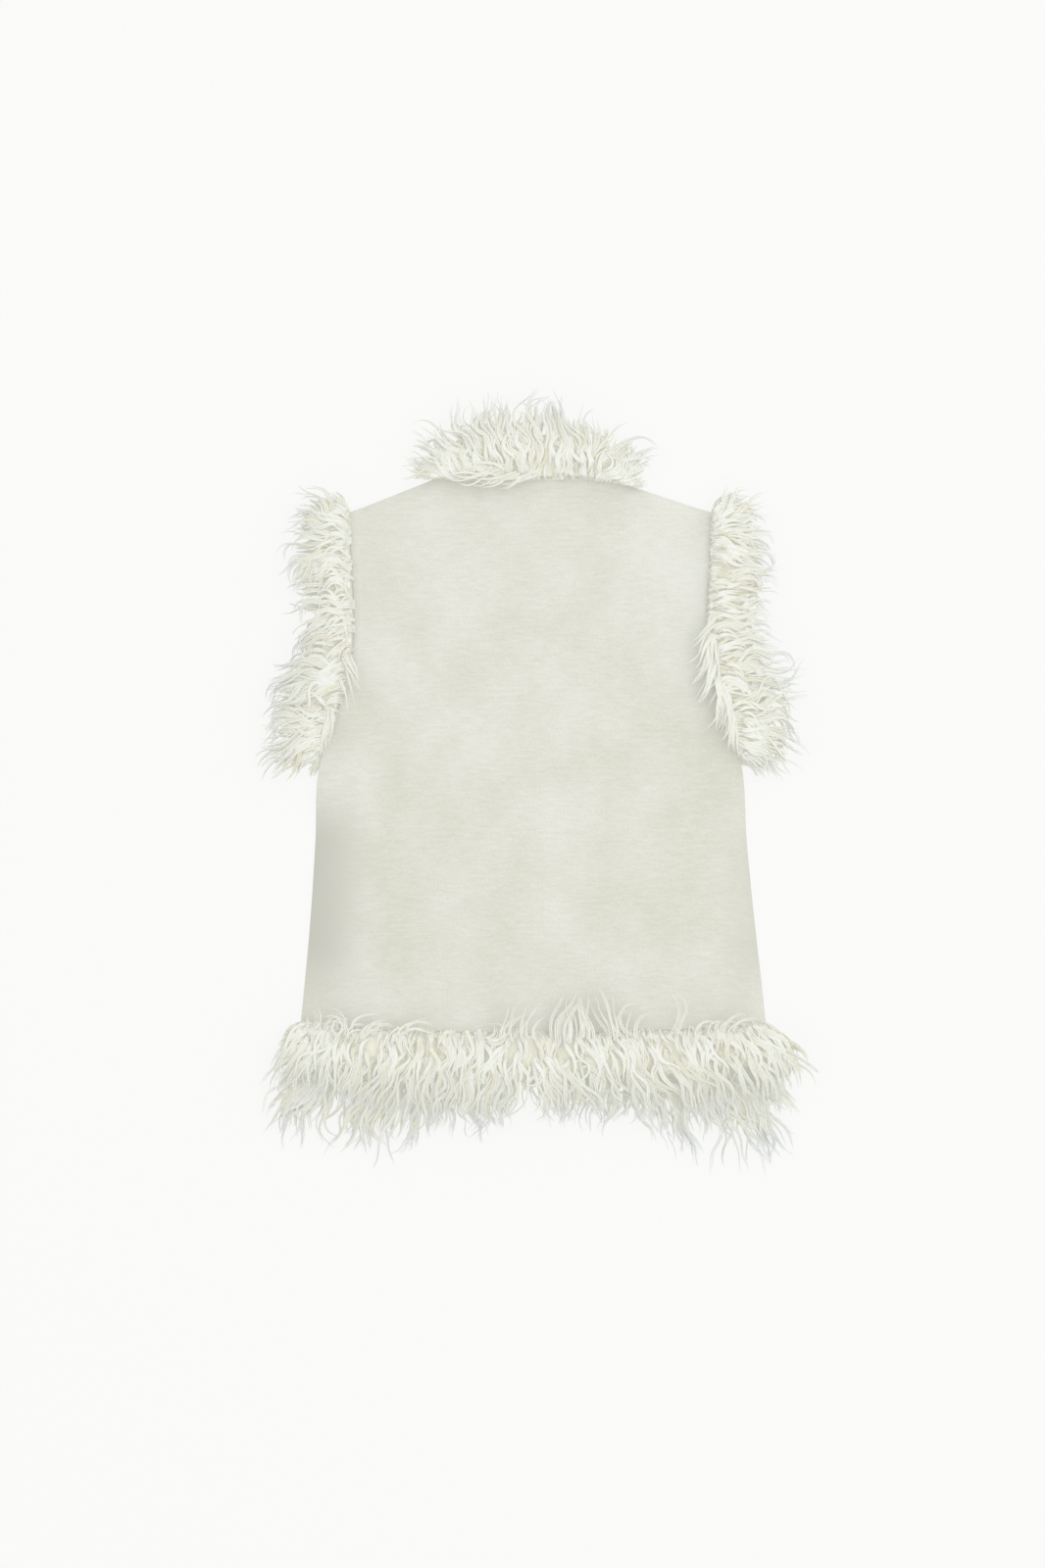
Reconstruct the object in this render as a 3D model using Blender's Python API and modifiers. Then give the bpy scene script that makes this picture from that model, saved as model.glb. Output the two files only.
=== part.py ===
"""Faux fur trim vest, laid flat face down, so that its back is uppermost.

Metres, +Z up. +Y points from the hem to the collar and -X is the wearer's left. The pieces are drawn
with the neck line at y = 0, then shifted together, so that the origin lies under the middle of the
part's box, on the surface that it rests on.
"""

import math
from collections import namedtuple

import bmesh
import bpy
from mathutils import Matrix, Vector

# Cloth
WALL = 0.003
SEAM_GAP = 0.0003

# Cut of the back, measured down from the left neck point and out from the centre back
NECK_HALF = 0.100
NECK_DIP = 0.002
SHOULDER_DROP = 0.0385
HEM_CORNER = 0.591
HEM_BOW = 0.010

# How the vest was put down: its right neck point lies lower, and its lower half to the right
RIGHT_NECK_LOW = 0.006
HEM_SHIFT = 0.0032
SHIFT_STARTS_BELOW = 0.300
SHIFT_RUN = 0.280

# Cut of the fronts, where it differs from the back
FRONT_DROP = 0.026
FRONT_HEM_RISE = 0.014
NECK_SCOOP = 0.078
OPENING_AT_NECK = 0.0015
OPENING_AT_HEM = 0.011

# How the panels lie on each other
FRONT_TOP = WALL
BACK_TOP = 0.0096
ROLL_EDGE_TOP = 0.0018
SIDE_ROLL_SHARE = 0.13
SHOULDER_ROLL_SHARE = 0.028
SIDE_SEAM_INSET = 0.0095
INSET_STARTS_ABOVE_UNDERARM = 0.065
INSET_RUN = 0.060
SHOULDER_SEAM_INSET = 0.0075
SIDE_ROLL_STARTS_BELOW = 0.320
SIDE_ROLL_RUN = 0.070
SHOULDER_ROLL_RUN = 0.018
SHOULDER_TIP_SHARE = 0.10
FLAT_HEM_SHARE = 0.06

# Density of the panels' grids
COLUMNS_TO_ROLL = 12
ROLL_COLUMNS = 5
ROWS_TO_ROLL = 22
ROLL_ROWS = 4
FRONT_COLUMNS = 8
FRONT_ROWS = 18

# The panels' outer edge, from the shoulder tip to the corner of the hem
Level = namedtuple("Level", "place below_neck half_width")
EDGE_LEVELS = (
    Level("shoulder tip", SHOULDER_DROP, 0.1970),
    Level("upper armhole", 0.088, 0.1940),
    Level("middle armhole", 0.160, 0.1910),
    Level("lower armhole", 0.215, 0.1960),
    Level("armhole turn", 0.262, 0.2120),
    Level("underarm", 0.316, 0.2290),
    Level("waist", 0.395, 0.2337),
    Level("hip", 0.480, 0.2406),
    Level("hem corner", 0.591, 0.2520),
)
SHOULDER_HALF = EDGE_LEVELS[0].half_width
UNDERARM = EDGE_LEVELS[5].below_neck

# Soft folds of the back: a crest or trough of that half length and half width, turned from +X
Fold = namedtuple("Fold", "place x below_neck turn half_length half_width lift")
BACK_FOLDS = (
    Fold("left flank trough", -0.165, 0.360, 106, 0.070, 0.022, -0.0011),
    Fold("left hip trough", -0.175, 0.500, 95, 0.080, 0.028, -0.0009),
    Fold("right flank trough", 0.178, 0.355, 60, 0.050, 0.026, -0.0010),
    Fold("right armhole trough", 0.125, 0.250, 150, 0.055, 0.022, -0.0010),
    Fold("mid back trough", -0.020, 0.180, 5, 0.090, 0.026, -0.0008),
    Fold("right shoulder blade crest", 0.120, 0.140, 85, 0.070, 0.034, 0.0014),
    Fold("left shoulder trough", -0.165, 0.075, 10, 0.050, 0.022, -0.0008),
    Fold("right hem trough", 0.137, 0.562, 80, 0.040, 0.020, -0.0009),
    Fold("lower back crest", -0.010, 0.440, 100, 0.110, 0.045, 0.0008),
)

# Sections of the pile: reach out from the seam, or back over the panel where it is negative, rise
# above the trim's base, and the length of the locks that grow from the strip up to the next point
Point = namedtuple("Point", "reach rise lock")
LOFTY_PILE = (
    Point(0.000, 0.0000, 0),
    Point(0.030, 0.0000, 0),
    Point(0.060, 0.0004, 0),
    Point(0.071, 0.0030, 0.030),
    Point(0.074, 0.0095, 0),
    Point(0.067, 0.0150, 0.036),
    Point(0.058, 0.0190, 0),
    Point(0.043, 0.0220, 0.030),
    Point(0.034, 0.0230, 0),
    Point(0.017, 0.0215, 0),
    Point(-0.003, 0.0175, 0),
    Point(-0.006, 0.0110, 0),
    Point(0.000, 0.0050, 0),
)
PRESSED_PILE = (
    Point(0.000, 0.0000, 0),
    Point(0.045, 0.0000, 0),
    Point(0.080, 0.0004, 0),
    Point(0.087, 0.0016, 0.036),
    Point(0.088, 0.0047, 0),
    Point(0.080, 0.0060, 0),
    Point(0.040, 0.0062, 0),
    Point(0.000, 0.0046, 0),
)
LOFTY_BASE = 0.0079
PRESSED_BASE = 0.0006

# Ends of the trims: how far the pile turns round the end of its seam, in degrees, over what run, and
# how far past the end it reaches sideways
End = namedtuple("End", "turn turn_run past")
LEFT_HEM_CORNER = End(46, 0.060, 0.030)
RIGHT_HEM_CORNER = End(42, 0.060, 0.042)
FRONT_HEM_CORNER = End(48, 0.060, 0.038)
CENTRE_FRONT_HEM = End(-8, 0.040, 0.040)
SHOULDER = End(64, 0.050, 0.012)
UNDERARM_POINT = End(54, 0.050, 0.016)
NECK_POINT = End(92, 0.050, 0.014)
FRONT_NECK_POINT = End(40, 0.050, 0.012)
CENTRE_FRONT_NECK = End(-14, 0.040, 0.040)

# Each trim: the scales of its pile's reach, rise, locks and overhang, how much shorter it is towards
# its ends, and the ends of its seam, run counter-clockwise
Trim = namedtuple("Trim", "reach rise lock over dome first last")
HEM_BACK = Trim(1.04, 1.00, 1.00, 1.0, 0.00, LEFT_HEM_CORNER, RIGHT_HEM_CORNER)
HEM_FRONT = Trim(0.96, 1.00, 1.10, 0.0, 0.00, FRONT_HEM_CORNER, CENTRE_FRONT_HEM)
ARMHOLE_BACK = Trim(0.80, 0.92, 0.70, 0.2, 0.00, SHOULDER, UNDERARM_POINT)
ARMHOLE_FRONT = Trim(0.58, 1.00, 0.65, 0.0, 0.00, SHOULDER, UNDERARM_POINT)
COLLAR_BACK = Trim(0.93, 0.96, 0.95, 0.6, 0.38, NECK_POINT, NECK_POINT)
COLLAR_FRONT = Trim(0.42, 0.72, 0.00, 0.0, 0.00, CENTRE_FRONT_NECK, FRONT_NECK_POINT)

# Stations of the pile along a seam
PAST_UNDERARM = 0.004
STATION = 0.0125
TURN_STATION = 0.0065
ROUND_LENGTH = 0.020
END_RISE = 0.55
OVERHANG_TURN = math.radians(40)
TUFT_WAVES = ((0.083, 0.07, 0.4), (0.051, 0.05, 1.9))

# Locks: each ring's share of the length and of the root's width, how a lock leans and curls, and how
# its curl and its length change from station to station and from strip to strip, in radians
Ring = namedtuple("Ring", "share width")
LOCK_RINGS = (Ring(0.42, 0.72), Ring(0.78, 0.40), Ring(1.00, 0.08))
LOCK_STEP = 2
LEAN_UP = 0.30
LEAN_OUT = 0.85
SIDE_CURL = 0.24
CURL_TURNS = (2.4, 1.0)
SAG = 0.10
SHORTEST_LOCK = 0.30
UNEVEN_LENGTH = 0.18
LENGTH_TURNS = (1.7, 2.0)
LOCK_FLOOR = 0.0017

Finish = namedtuple("Finish", "colour roughness")
SUEDE = Finish((0.76, 0.76, 0.67), 0.92)
FUR = Finish((0.84, 0.82, 0.71), 0.85)
SHARP_EDGE = math.radians(50)

TURN_LEFT = Matrix(((0, -1), (1, 0)))


def clear_scene():
    for old in list(bpy.data.objects):
        bpy.data.objects.remove(old)


def make_collection(name):
    collection = bpy.data.collections.new(name)
    bpy.context.scene.collection.children.link(collection)
    return collection


def make_material(name, finish):
    material = bpy.data.materials.new(name)
    material.use_nodes = True
    shader = material.node_tree.nodes["Principled BSDF"]
    shader.inputs["Base Color"].default_value = (*finish.colour, 1)
    shader.inputs["Roughness"].default_value = finish.roughness
    shader.inputs["Metallic"].default_value = 0
    return material


def smoothstep(value):
    held = min(max(value, 0), 1)
    return held * held * (3 - 2 * held)


def quarter_round(value):
    """Height of a quarter circle: 0 at its edge, 1 where it runs out level."""
    held = min(max(value, 0), 1)
    return math.sqrt(1 - (1 - held) ** 2)


def blend(low, high, share):
    return low + (high - low) * share


def half_width(below_neck):
    """Half width of the vest at a depth, on a smooth curve through the edge levels."""
    levels = EDGE_LEVELS
    held = min(max(below_neck, levels[0].below_neck), levels[-1].below_neck)
    last_span = len(levels) - 2
    span = next((i for i in range(last_span) if held <= levels[i + 1].below_neck), last_span)
    here, there = levels[span], levels[span + 1]

    def slope(i):
        before, after = levels[max(i - 1, 0)], levels[min(i + 1, len(levels) - 1)]
        return (after.half_width - before.half_width) / (after.below_neck - before.below_neck)

    run = there.below_neck - here.below_neck
    t = (held - here.below_neck) / run
    return (
        (2 * t**3 - 3 * t**2 + 1) * here.half_width
        + (t**3 - 2 * t**2 + t) * run * slope(span)
        + (3 * t**2 - 2 * t**3) * there.half_width
        + (t**3 - t**2) * run * slope(span + 1)
    )


def rounded_steps(even, roll_share, rolled):
    """Shares from 0 to 1: even steps, then steps that close up over a rolled edge."""
    steps = [(1 - roll_share) * i / even for i in range(even)]
    angles = [math.pi / 2 * (1 - i / rolled) for i in range(rolled + 1)]
    return steps + [1 - roll_share * (1 - math.cos(angle)) for angle in angles]


def top_line(x, neck_dip):
    """Depth of the neck and shoulder seams below the left neck point, at a distance from the centre."""
    neck = RIGHT_NECK_LOW * smoothstep(2 * x / NECK_HALF - 1)
    if abs(x) < NECK_HALF:
        return neck + neck_dip * (1 - (x / NECK_HALF) ** 2)
    return blend(neck, SHOULDER_DROP, (abs(x) - NECK_HALF) / (SHOULDER_HALF - NECK_HALF))


def centre_line(below_neck):
    return HEM_SHIFT * smoothstep((below_neck - SHIFT_STARTS_BELOW) / SHIFT_RUN)


def back_plan(across, up):
    """Plan of the back: across is -1 to 1 from side to side, up is 0 at the hem and 1 at the top."""
    edge_depth = blend(HEM_CORNER, SHOULDER_DROP, up)
    hem = HEM_CORNER + HEM_BOW * (1 - across**2)
    depth = blend(hem, top_line(across * SHOULDER_HALF, NECK_DIP), up)
    return Vector((across * half_width(edge_depth) + centre_line(edge_depth), -depth))


def side_inset(below_neck):
    """The fronts stop short of the back's sides, which roll down round them, but not at the armholes."""
    start = UNDERARM - INSET_STARTS_ABOVE_UNDERARM
    return SIDE_SEAM_INSET * smoothstep((below_neck - start) / INSET_RUN)


def front_plan(side, across, up):
    """Plan of a front: across is 0 at the centre front and 1 at the side, up as on the back."""
    corner = HEM_CORNER + FRONT_DROP
    edge_depth = blend(corner, SHOULDER_DROP + SHOULDER_SEAM_INSET, up)
    outer = half_width(edge_depth) - side_inset(edge_depth)
    opening = blend(OPENING_AT_HEM, OPENING_AT_NECK, up)
    hem = corner - FRONT_HEM_RISE * (1 - across**2)
    top = top_line(side * blend(opening, SHOULDER_HALF, across), NECK_SCOOP) + SHOULDER_SEAM_INSET
    return Vector((side * blend(opening, outer, across) + centre_line(edge_depth), -blend(hem, top, up)))


def fold_lift(x, y):
    """Sum of the soft folds at a point of the back, each a bell along its length and its width."""
    total = 0
    for fold in BACK_FOLDS:
        turn = math.radians(fold.turn)
        away = Vector((x - fold.x, y + fold.below_neck))
        along = away.x * math.cos(turn) + away.y * math.sin(turn)
        aside = away.y * math.cos(turn) - away.x * math.sin(turn)
        bell = (along / fold.half_length) ** 2 + (aside / fold.half_width) ** 2
        total += fold.lift * math.exp(-bell)
    return total


def back_height(across, up, x, y):
    """Top of the back: level, but rolled down at the side and shoulder seams."""
    side_weight = smoothstep((-y - SIDE_ROLL_STARTS_BELOW) / SIDE_ROLL_RUN)
    side = 1 - side_weight * (1 - quarter_round((1 - abs(across)) / SIDE_ROLL_SHARE))
    past_neck = smoothstep((abs(across) * SHOULDER_HALF - NECK_HALF) / SHOULDER_ROLL_RUN)
    to_tip = smoothstep((1 - abs(across)) / SHOULDER_TIP_SHARE)
    shoulder = 1 - past_neck * to_tip * (1 - quarter_round((1 - up) / SHOULDER_ROLL_SHARE))
    level = BACK_TOP + fold_lift(x, y) * smoothstep(min(up, 1 - up) / FLAT_HEM_SHARE)
    return blend(ROLL_EDGE_TOP, level, side * shoulder)


def grid_mesh(columns, rows, place):
    """Open surface: a grid whose points are placed by their column and row."""
    shape = bmesh.new()
    last_column, last_row = len(columns) - 1, len(rows) - 1
    bmesh.ops.create_grid(shape, x_segments=last_column, y_segments=last_row, size=1)
    for vertex in shape.verts:
        column = round((vertex.co.x + 1) / 2 * last_column)
        row = round((vertex.co.y + 1) / 2 * last_row)
        vertex.co = place(columns[column], rows[row])
    bmesh.ops.recalc_face_normals(shape, faces=shape.faces)
    if sum(face.normal.z for face in shape.faces) < 0:
        bmesh.ops.reverse_faces(shape, faces=shape.faces)
    return shape


def add_object(name, shape, finish, collection):
    mesh = bpy.data.meshes.new(name)
    shape.to_mesh(mesh)
    shape.free()
    mesh.materials.append(make_material(name, finish))
    mesh.shade_smooth()
    mesh.set_sharp_from_angle(angle=SHARP_EDGE)
    made = bpy.data.objects.new(name, mesh)
    collection.objects.link(made)
    return made


def add_panel(name, columns, rows, place, collection):
    """A cloth panel: its outer surface, given its wall downwards."""
    panel = add_object(name, grid_mesh(columns, rows, place), SUEDE, collection)
    wall = panel.modifiers.new("wall", "SOLIDIFY")
    wall.thickness = WALL
    wall.offset = -1
    wall.use_even_offset = True
    return panel


def both_sides(shares):
    return [-share for share in reversed(shares[1:])] + list(shares)


BACK_COLUMNS = both_sides(rounded_steps(COLUMNS_TO_ROLL, SIDE_ROLL_SHARE, ROLL_COLUMNS))
BACK_ROWS = rounded_steps(ROWS_TO_ROLL, SHOULDER_ROLL_SHARE, ROLL_ROWS)
FRONT_ACROSS = [i / FRONT_COLUMNS for i in range(FRONT_COLUMNS + 1)]
FRONT_UP = [i / FRONT_ROWS for i in range(FRONT_ROWS + 1)]


def add_back(collection):
    def place(across, up):
        plan = back_plan(across, up)
        return Vector((*plan, back_height(across, up, *plan)))

    add_panel("back", BACK_COLUMNS, BACK_ROWS, place, collection)


def add_front(name, side, collection):
    def place(across, up):
        return Vector((*front_plan(side, across, up), FRONT_TOP))

    add_panel(name, FRONT_ACROSS, FRONT_UP, place, collection)


def armhole_rows(rows, plan):
    return [up for up in rows if -plan(up).y <= UNDERARM + PAST_UNDERARM]


Station = namedtuple("Station", "point square_out turn out along run left past")


def stations_along(edge, trim):
    """Stations on a seam that is run counter-clockwise, so that the pile is on its right.

    Every corner of the seam's line is a station, and longer spans are shared out evenly.
    """
    last = len(edge) - 1
    tangents = [(edge[min(i + 1, last)] - edge[max(i - 1, 0)]).normalized() for i in range(last + 1)]
    lengths = [(b - a).length for a, b in zip(edge, edge[1:])]
    places = []
    for i, length in enumerate(lengths):
        turns = sum(lengths[:i]) < trim.first.turn_run or sum(lengths[i + 1 :]) < trim.last.turn_run
        steps = max(round(length / (TURN_STATION if turns else STATION)), 1)
        places += [(i, k / steps) for k in range(steps)]
    places.append((last - 1, 1))
    points = [edge[i].lerp(edge[i + 1], share) for i, share in places]
    runs = [0]
    for before, here in zip(points, points[1:]):
        runs.append(runs[-1] + (here - before).length)
    found = []
    for (i, share), point, run in zip(places, points, runs):
        along = tangents[i].lerp(tangents[i + 1], share).normalized()
        square_out = -(TURN_LEFT @ along)
        left = runs[-1] - run
        first_turn = trim.first.turn * max(1 - run / trim.first.turn_run, 0) ** 2
        last_turn = trim.last.turn * max(1 - left / trim.last.turn_run, 0) ** 2
        turn = math.radians(last_turn - first_turn)
        past = trim.last.past + left if turn > 0 else trim.first.past + run
        out = Matrix.Rotation(turn, 2) @ square_out
        start = point + square_out * SEAM_GAP
        found.append(Station(start, square_out, abs(turn), out, along, run, left, past))
    return found


def pile_scales(station, trim, whole_reach):
    """Reach and rise of the pile at a station: tufted along the seam, and rounded off at its ends."""
    tuft = 1 + sum(
        height * math.sin(2 * math.pi * station.run / wave + phase)
        for wave, height, phase in TUFT_WAVES
    )
    sideways = whole_reach * trim.reach * math.sin(station.turn)
    from_middle = abs(station.run - station.left) / (station.run + station.left)
    reach = trim.reach * tuft * min(station.past / max(sideways, 1e-6), 1 - trim.dome * from_middle**2)
    end = blend(END_RISE, 1, quarter_round(min(station.run, station.left) / ROUND_LENGTH))
    return reach, trim.rise * end * (0.5 + 0.5 * tuft)


def grow_locks(shape, marks, stations, section, scales, lock_scale):
    """Draws facets of the pile out into four-sided locks that taper, lean out and curl."""
    station_mark, strip_mark, lock_mark = marks
    shape.normal_update()
    locks, paths = [], []
    longest = max(reach for reach, rise in scales)
    for face in list(shape.faces):
        index, strip = face[station_mark], face[strip_mark]
        lock_rows_before = sum(1 for point in section[:strip] if point.lock)
        grows = section[strip].lock and 0 < index < len(stations) - 2
        if not grows or index % LOCK_STEP != lock_rows_before % LOCK_STEP:
            continue
        station = stations[index]
        out = Vector((*station.out, 0))
        lean = (face.normal * LEAN_UP + out * LEAN_OUT).normalized()
        bend = math.sin(CURL_TURNS[0] * index + CURL_TURNS[1] * strip)
        curl = Vector((*station.along, 0)) * (SIDE_CURL * bend)
        curl.z = -SAG
        length = section[strip].lock * lock_scale * blend(SHORTEST_LOCK, 1, scales[index][0] / longest)
        length *= 1 + UNEVEN_LENGTH * math.sin(LENGTH_TURNS[0] * index + LENGTH_TURNS[1] * strip)
        face[lock_mark] = len(locks)
        locks.append(face)
        paths.append((face.calc_center_median(), lean * length, curl * length))
    width = 1
    for ring in LOCK_RINGS:
        locks = bmesh.ops.extrude_discrete_faces(shape, faces=locks)["faces"]
        for face in locks:
            root, lean, curl = paths[face[lock_mark]]
            old = face.calc_center_median()
            new = root + lean * ring.share + curl * ring.share**2
            new.z = max(new.z, LOCK_FLOOR)
            for vertex in face.verts:
                vertex.co = new + (vertex.co - old) * (ring.width / width)
        width = ring.width


def add_trim(name, edge, trim, section, base, collection):
    """A fur trim: its pile carried along a seam as one closed body, with locks drawn out of it."""
    stations = stations_along(edge, trim)
    whole_reach = max(point.reach for point in section)
    scales = [pile_scales(station, trim, whole_reach) for station in stations]
    shape = bmesh.new()
    last_station, corners = len(stations) - 1, len(section)
    bmesh.ops.create_grid(shape, x_segments=last_station, y_segments=corners, size=1)
    for mark in ("station", "strip", "lock"):
        shape.faces.layers.int.new(mark)
    marks = [shape.faces.layers.int[mark] for mark in ("station", "strip", "lock")]
    for face in shape.faces:
        middle = face.calc_center_median()
        face[marks[0]] = int((middle.x + 1) / 2 * last_station)
        face[marks[1]] = int((middle.y + 1) / 2 * corners)
    for vertex in shape.verts:
        index = round((vertex.co.x + 1) / 2 * last_station)
        point = section[round((vertex.co.y + 1) / 2 * corners) % corners]
        station, (reach, rise) = stations[index], scales[index]
        over = trim.over * max(1 - station.turn / OVERHANG_TURN, 0)
        plan = station.point + station.out * (max(point.reach, 0) * reach)
        plan += station.square_out * (min(point.reach, 0) * over)
        vertex.co = Vector((*plan, base + point.rise * rise))
    bmesh.ops.remove_doubles(shape, verts=shape.verts, dist=1e-7)
    bmesh.ops.holes_fill(shape, edges=[e for e in shape.edges if e.is_boundary], sides=0)
    bmesh.ops.recalc_face_normals(shape, faces=shape.faces)
    if trim.lock:
        grow_locks(shape, marks, stations, section, scales, trim.lock)
    return add_object(name, shape, FUR, collection)


def turned_round(trim):
    """The same trim for a seam that is run the other way."""
    return trim._replace(first=trim.last, last=trim.first)


def add_back_trims(collection):
    hem = [back_plan(across, 0) for across in BACK_COLUMNS]
    add_trim("hem_trim_back", hem, HEM_BACK, LOFTY_PILE, LOFTY_BASE, collection)
    rows = armhole_rows(BACK_ROWS, lambda up: back_plan(1, up))
    left = [back_plan(-1, up) for up in reversed(rows)]
    right = [back_plan(1, up) for up in rows]
    for name, edge, trim in (("left", left, ARMHOLE_BACK), ("right", right, turned_round(ARMHOLE_BACK))):
        full_name = f"armhole_trim_back_{name}"
        add_trim(full_name, edge, trim, LOFTY_PILE, LOFTY_BASE, collection)
    neck = [back_plan(a, 1) for a in reversed(BACK_COLUMNS) if abs(a) * SHOULDER_HALF <= NECK_HALF]
    add_trim("collar_back", neck, COLLAR_BACK, LOFTY_PILE, LOFTY_BASE, collection)


def add_front_trims(name, side, collection):
    def along(points):
        """Counter-clockwise order: the tables are written for the wearer's left, where x is negative."""
        return points if side < 0 else points[::-1]

    def add(piece, points, trim):
        facing = trim if side < 0 else turned_round(trim)
        full_name = f"{piece}_front_{name}"
        add_trim(full_name, along(points), facing, PRESSED_PILE, PRESSED_BASE, collection)

    add("hem_trim", [front_plan(side, a, 0) for a in reversed(FRONT_ACROSS)], HEM_FRONT)
    rows = armhole_rows(FRONT_UP, lambda up: front_plan(side, 1, up))
    add("armhole_trim", [front_plan(side, 1, up) for up in reversed(rows)], ARMHOLE_FRONT)
    inside = [a for a in FRONT_ACROSS if abs(front_plan(side, a, 1).x) <= NECK_HALF]
    add("collar", [front_plan(side, a, 1) for a in inside], COLLAR_FRONT)


def rest_at_origin(collection):
    """Moves every piece so that the origin is under the middle of the part's box."""
    bpy.context.view_layer.update()
    graph = bpy.context.evaluated_depsgraph_get()
    corners = [Vector(c) for o in collection.objects for c in o.evaluated_get(graph).bound_box]
    low = Vector(min(c[i] for c in corners) for i in range(3))
    high = Vector(max(c[i] for c in corners) for i in range(3))
    middle = (low + high) / 2
    shift = Matrix.Translation((-middle.x, -middle.y, -low.z))
    for made in collection.objects:
        made.data.transform(shift)


def main():
    clear_scene()
    vest = make_collection("faux fur trim vest")
    add_back(vest)
    add_back_trims(vest)
    for name, side in (("left", -1), ("right", 1)):
        add_front(f"front_{name}", side, vest)
        add_front_trims(name, side, vest)
    rest_at_origin(vest)


main()
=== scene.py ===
# %% [markdown]
# # A faux fur trim vest, laid flat
# The real vest is a sleeveless one of cream suede cloth, with a wide trim of long, wavy fur round its neck,
# its armholes and its hem. It lies on a pale surface with its back uppermost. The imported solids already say
# where every piece is, so this lesson dresses them: thin cloth for the panels, locks of hair for the fur.

from collections import namedtuple

import bpy
import numpy as np
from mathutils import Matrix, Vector


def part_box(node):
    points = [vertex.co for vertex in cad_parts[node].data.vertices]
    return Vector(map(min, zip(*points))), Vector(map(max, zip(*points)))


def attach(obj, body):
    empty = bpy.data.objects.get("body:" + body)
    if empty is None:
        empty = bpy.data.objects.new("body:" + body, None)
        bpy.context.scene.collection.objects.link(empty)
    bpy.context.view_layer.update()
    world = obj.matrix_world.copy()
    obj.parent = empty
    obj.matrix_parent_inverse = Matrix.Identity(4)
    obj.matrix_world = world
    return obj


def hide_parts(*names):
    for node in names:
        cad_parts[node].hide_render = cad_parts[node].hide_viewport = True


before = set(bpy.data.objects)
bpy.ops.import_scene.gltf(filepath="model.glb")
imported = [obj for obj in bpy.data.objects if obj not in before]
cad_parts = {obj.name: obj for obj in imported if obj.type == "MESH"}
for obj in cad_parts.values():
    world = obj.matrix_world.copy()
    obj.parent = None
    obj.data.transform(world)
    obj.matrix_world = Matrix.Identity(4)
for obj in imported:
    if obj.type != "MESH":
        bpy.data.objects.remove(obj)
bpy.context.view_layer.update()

# %% [markdown]
# ## The cut of the cloth
# A vest is drawn as a flat pattern before it is sewn, and the same pattern gives every edge that fur is
# sewn to. It could be traced from the solids, but a pattern written as curves can be drawn as finely as the
# cloth needs. Depth is measured down from the left neck point, and width out from the centre back.

# %% Curves that the pattern is drawn with
def smoothstep(value):
    """0 below 0, 1 above 1, and 3v^2 - 2v^3 between them."""
    held = np.clip(value, 0, 1)
    return held * held * (3 - 2 * held)


def quarter_round(value):
    """Height of a quarter circle, the root of 1 - (1 - v)^2: 0 at its edge, 1 where it runs out level."""
    return np.sqrt(1 - (1 - np.clip(value, 0, 1)) ** 2)


def blend(low, high, share):
    """The value that lies that share of the way from low to high."""
    return low + (high - low) * share


def unit(vectors):
    """Vectors divided by their own length."""
    return vectors / np.maximum(np.linalg.norm(vectors, axis=-1, keepdims=True), 1e-9)


def turned(directions, angle):
    """Plan directions turned counter-clockwise: (x cos - y sin, x sin + y cos)."""
    x, y = directions[..., 0], directions[..., 1]
    sine, cosine = np.sin(angle), np.cos(angle)
    return np.stack([x * cosine - y * sine, x * sine + y * cosine], axis=-1)


# %% The side edge, from the shoulder tip to the corner of the hem
NECK_HALF, NECK_DIP, RIGHT_NECK_LOW = 0.100, 0.002, 0.006
SHOULDER_HALF, SHOULDER_DROP = 0.197, 0.0385
UNDERARM, WAIST, HEM_CORNER, HEM_BOW = 0.316, 0.395, 0.591, 0.010
EDGE_DEPTH = np.array([SHOULDER_DROP, 0.088, 0.160, 0.215, 0.262, UNDERARM, WAIST, 0.480, HEM_CORNER])
EDGE_HALF = np.array([SHOULDER_HALF, 0.194, 0.191, 0.196, 0.212, 0.229, 0.2337, 0.2406, 0.252])
level = np.arange(len(EDGE_DEPTH))
before, after = np.maximum(level - 1, 0), np.minimum(level + 1, level[-1])
EDGE_SLOPE = (EDGE_HALF[after] - EDGE_HALF[before]) / (EDGE_DEPTH[after] - EDGE_DEPTH[before])


def half_width(depth):
    """Cubic curve through the edge levels: each span blends its two widths and its two slopes."""
    held = np.clip(depth, EDGE_DEPTH[0], EDGE_DEPTH[-1])
    span = np.clip(np.searchsorted(EDGE_DEPTH, held) - 1, 0, len(EDGE_DEPTH) - 2)
    run = EDGE_DEPTH[span + 1] - EDGE_DEPTH[span]
    t = (held - EDGE_DEPTH[span]) / run
    widths = (2 * t**3 - 3 * t**2 + 1) * EDGE_HALF[span] + (3 * t**2 - 2 * t**3) * EDGE_HALF[span + 1]
    slopes = (t**3 - 2 * t**2 + t) * EDGE_SLOPE[span] + (t**3 - t**2) * EDGE_SLOPE[span + 1]
    return widths + run * slopes


print("half width at the waist:", round(float(half_width(WAIST)), 4))

# %% Plan of the back
HEM_SHIFT, SHIFT_STARTS, SHIFT_RUN = 0.0032, 0.300, 0.280


def top_line(x, neck_dip):
    """Depth of the neck, a shallow parabola, and of the shoulders, which slope straight down from it."""
    neck = RIGHT_NECK_LOW * smoothstep(2 * x / NECK_HALF - 1)
    scoop = neck + neck_dip * (1 - (x / NECK_HALF) ** 2)
    slope = blend(neck, SHOULDER_DROP, (np.abs(x) - NECK_HALF) / (SHOULDER_HALF - NECK_HALF))
    return np.where(np.abs(x) < NECK_HALF, scoop, slope)


def centre_line(depth):
    """Smooth step to the right: the lower half of the vest was put down a little to that side."""
    return HEM_SHIFT * smoothstep((depth - SHIFT_STARTS) / SHIFT_RUN)


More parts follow.
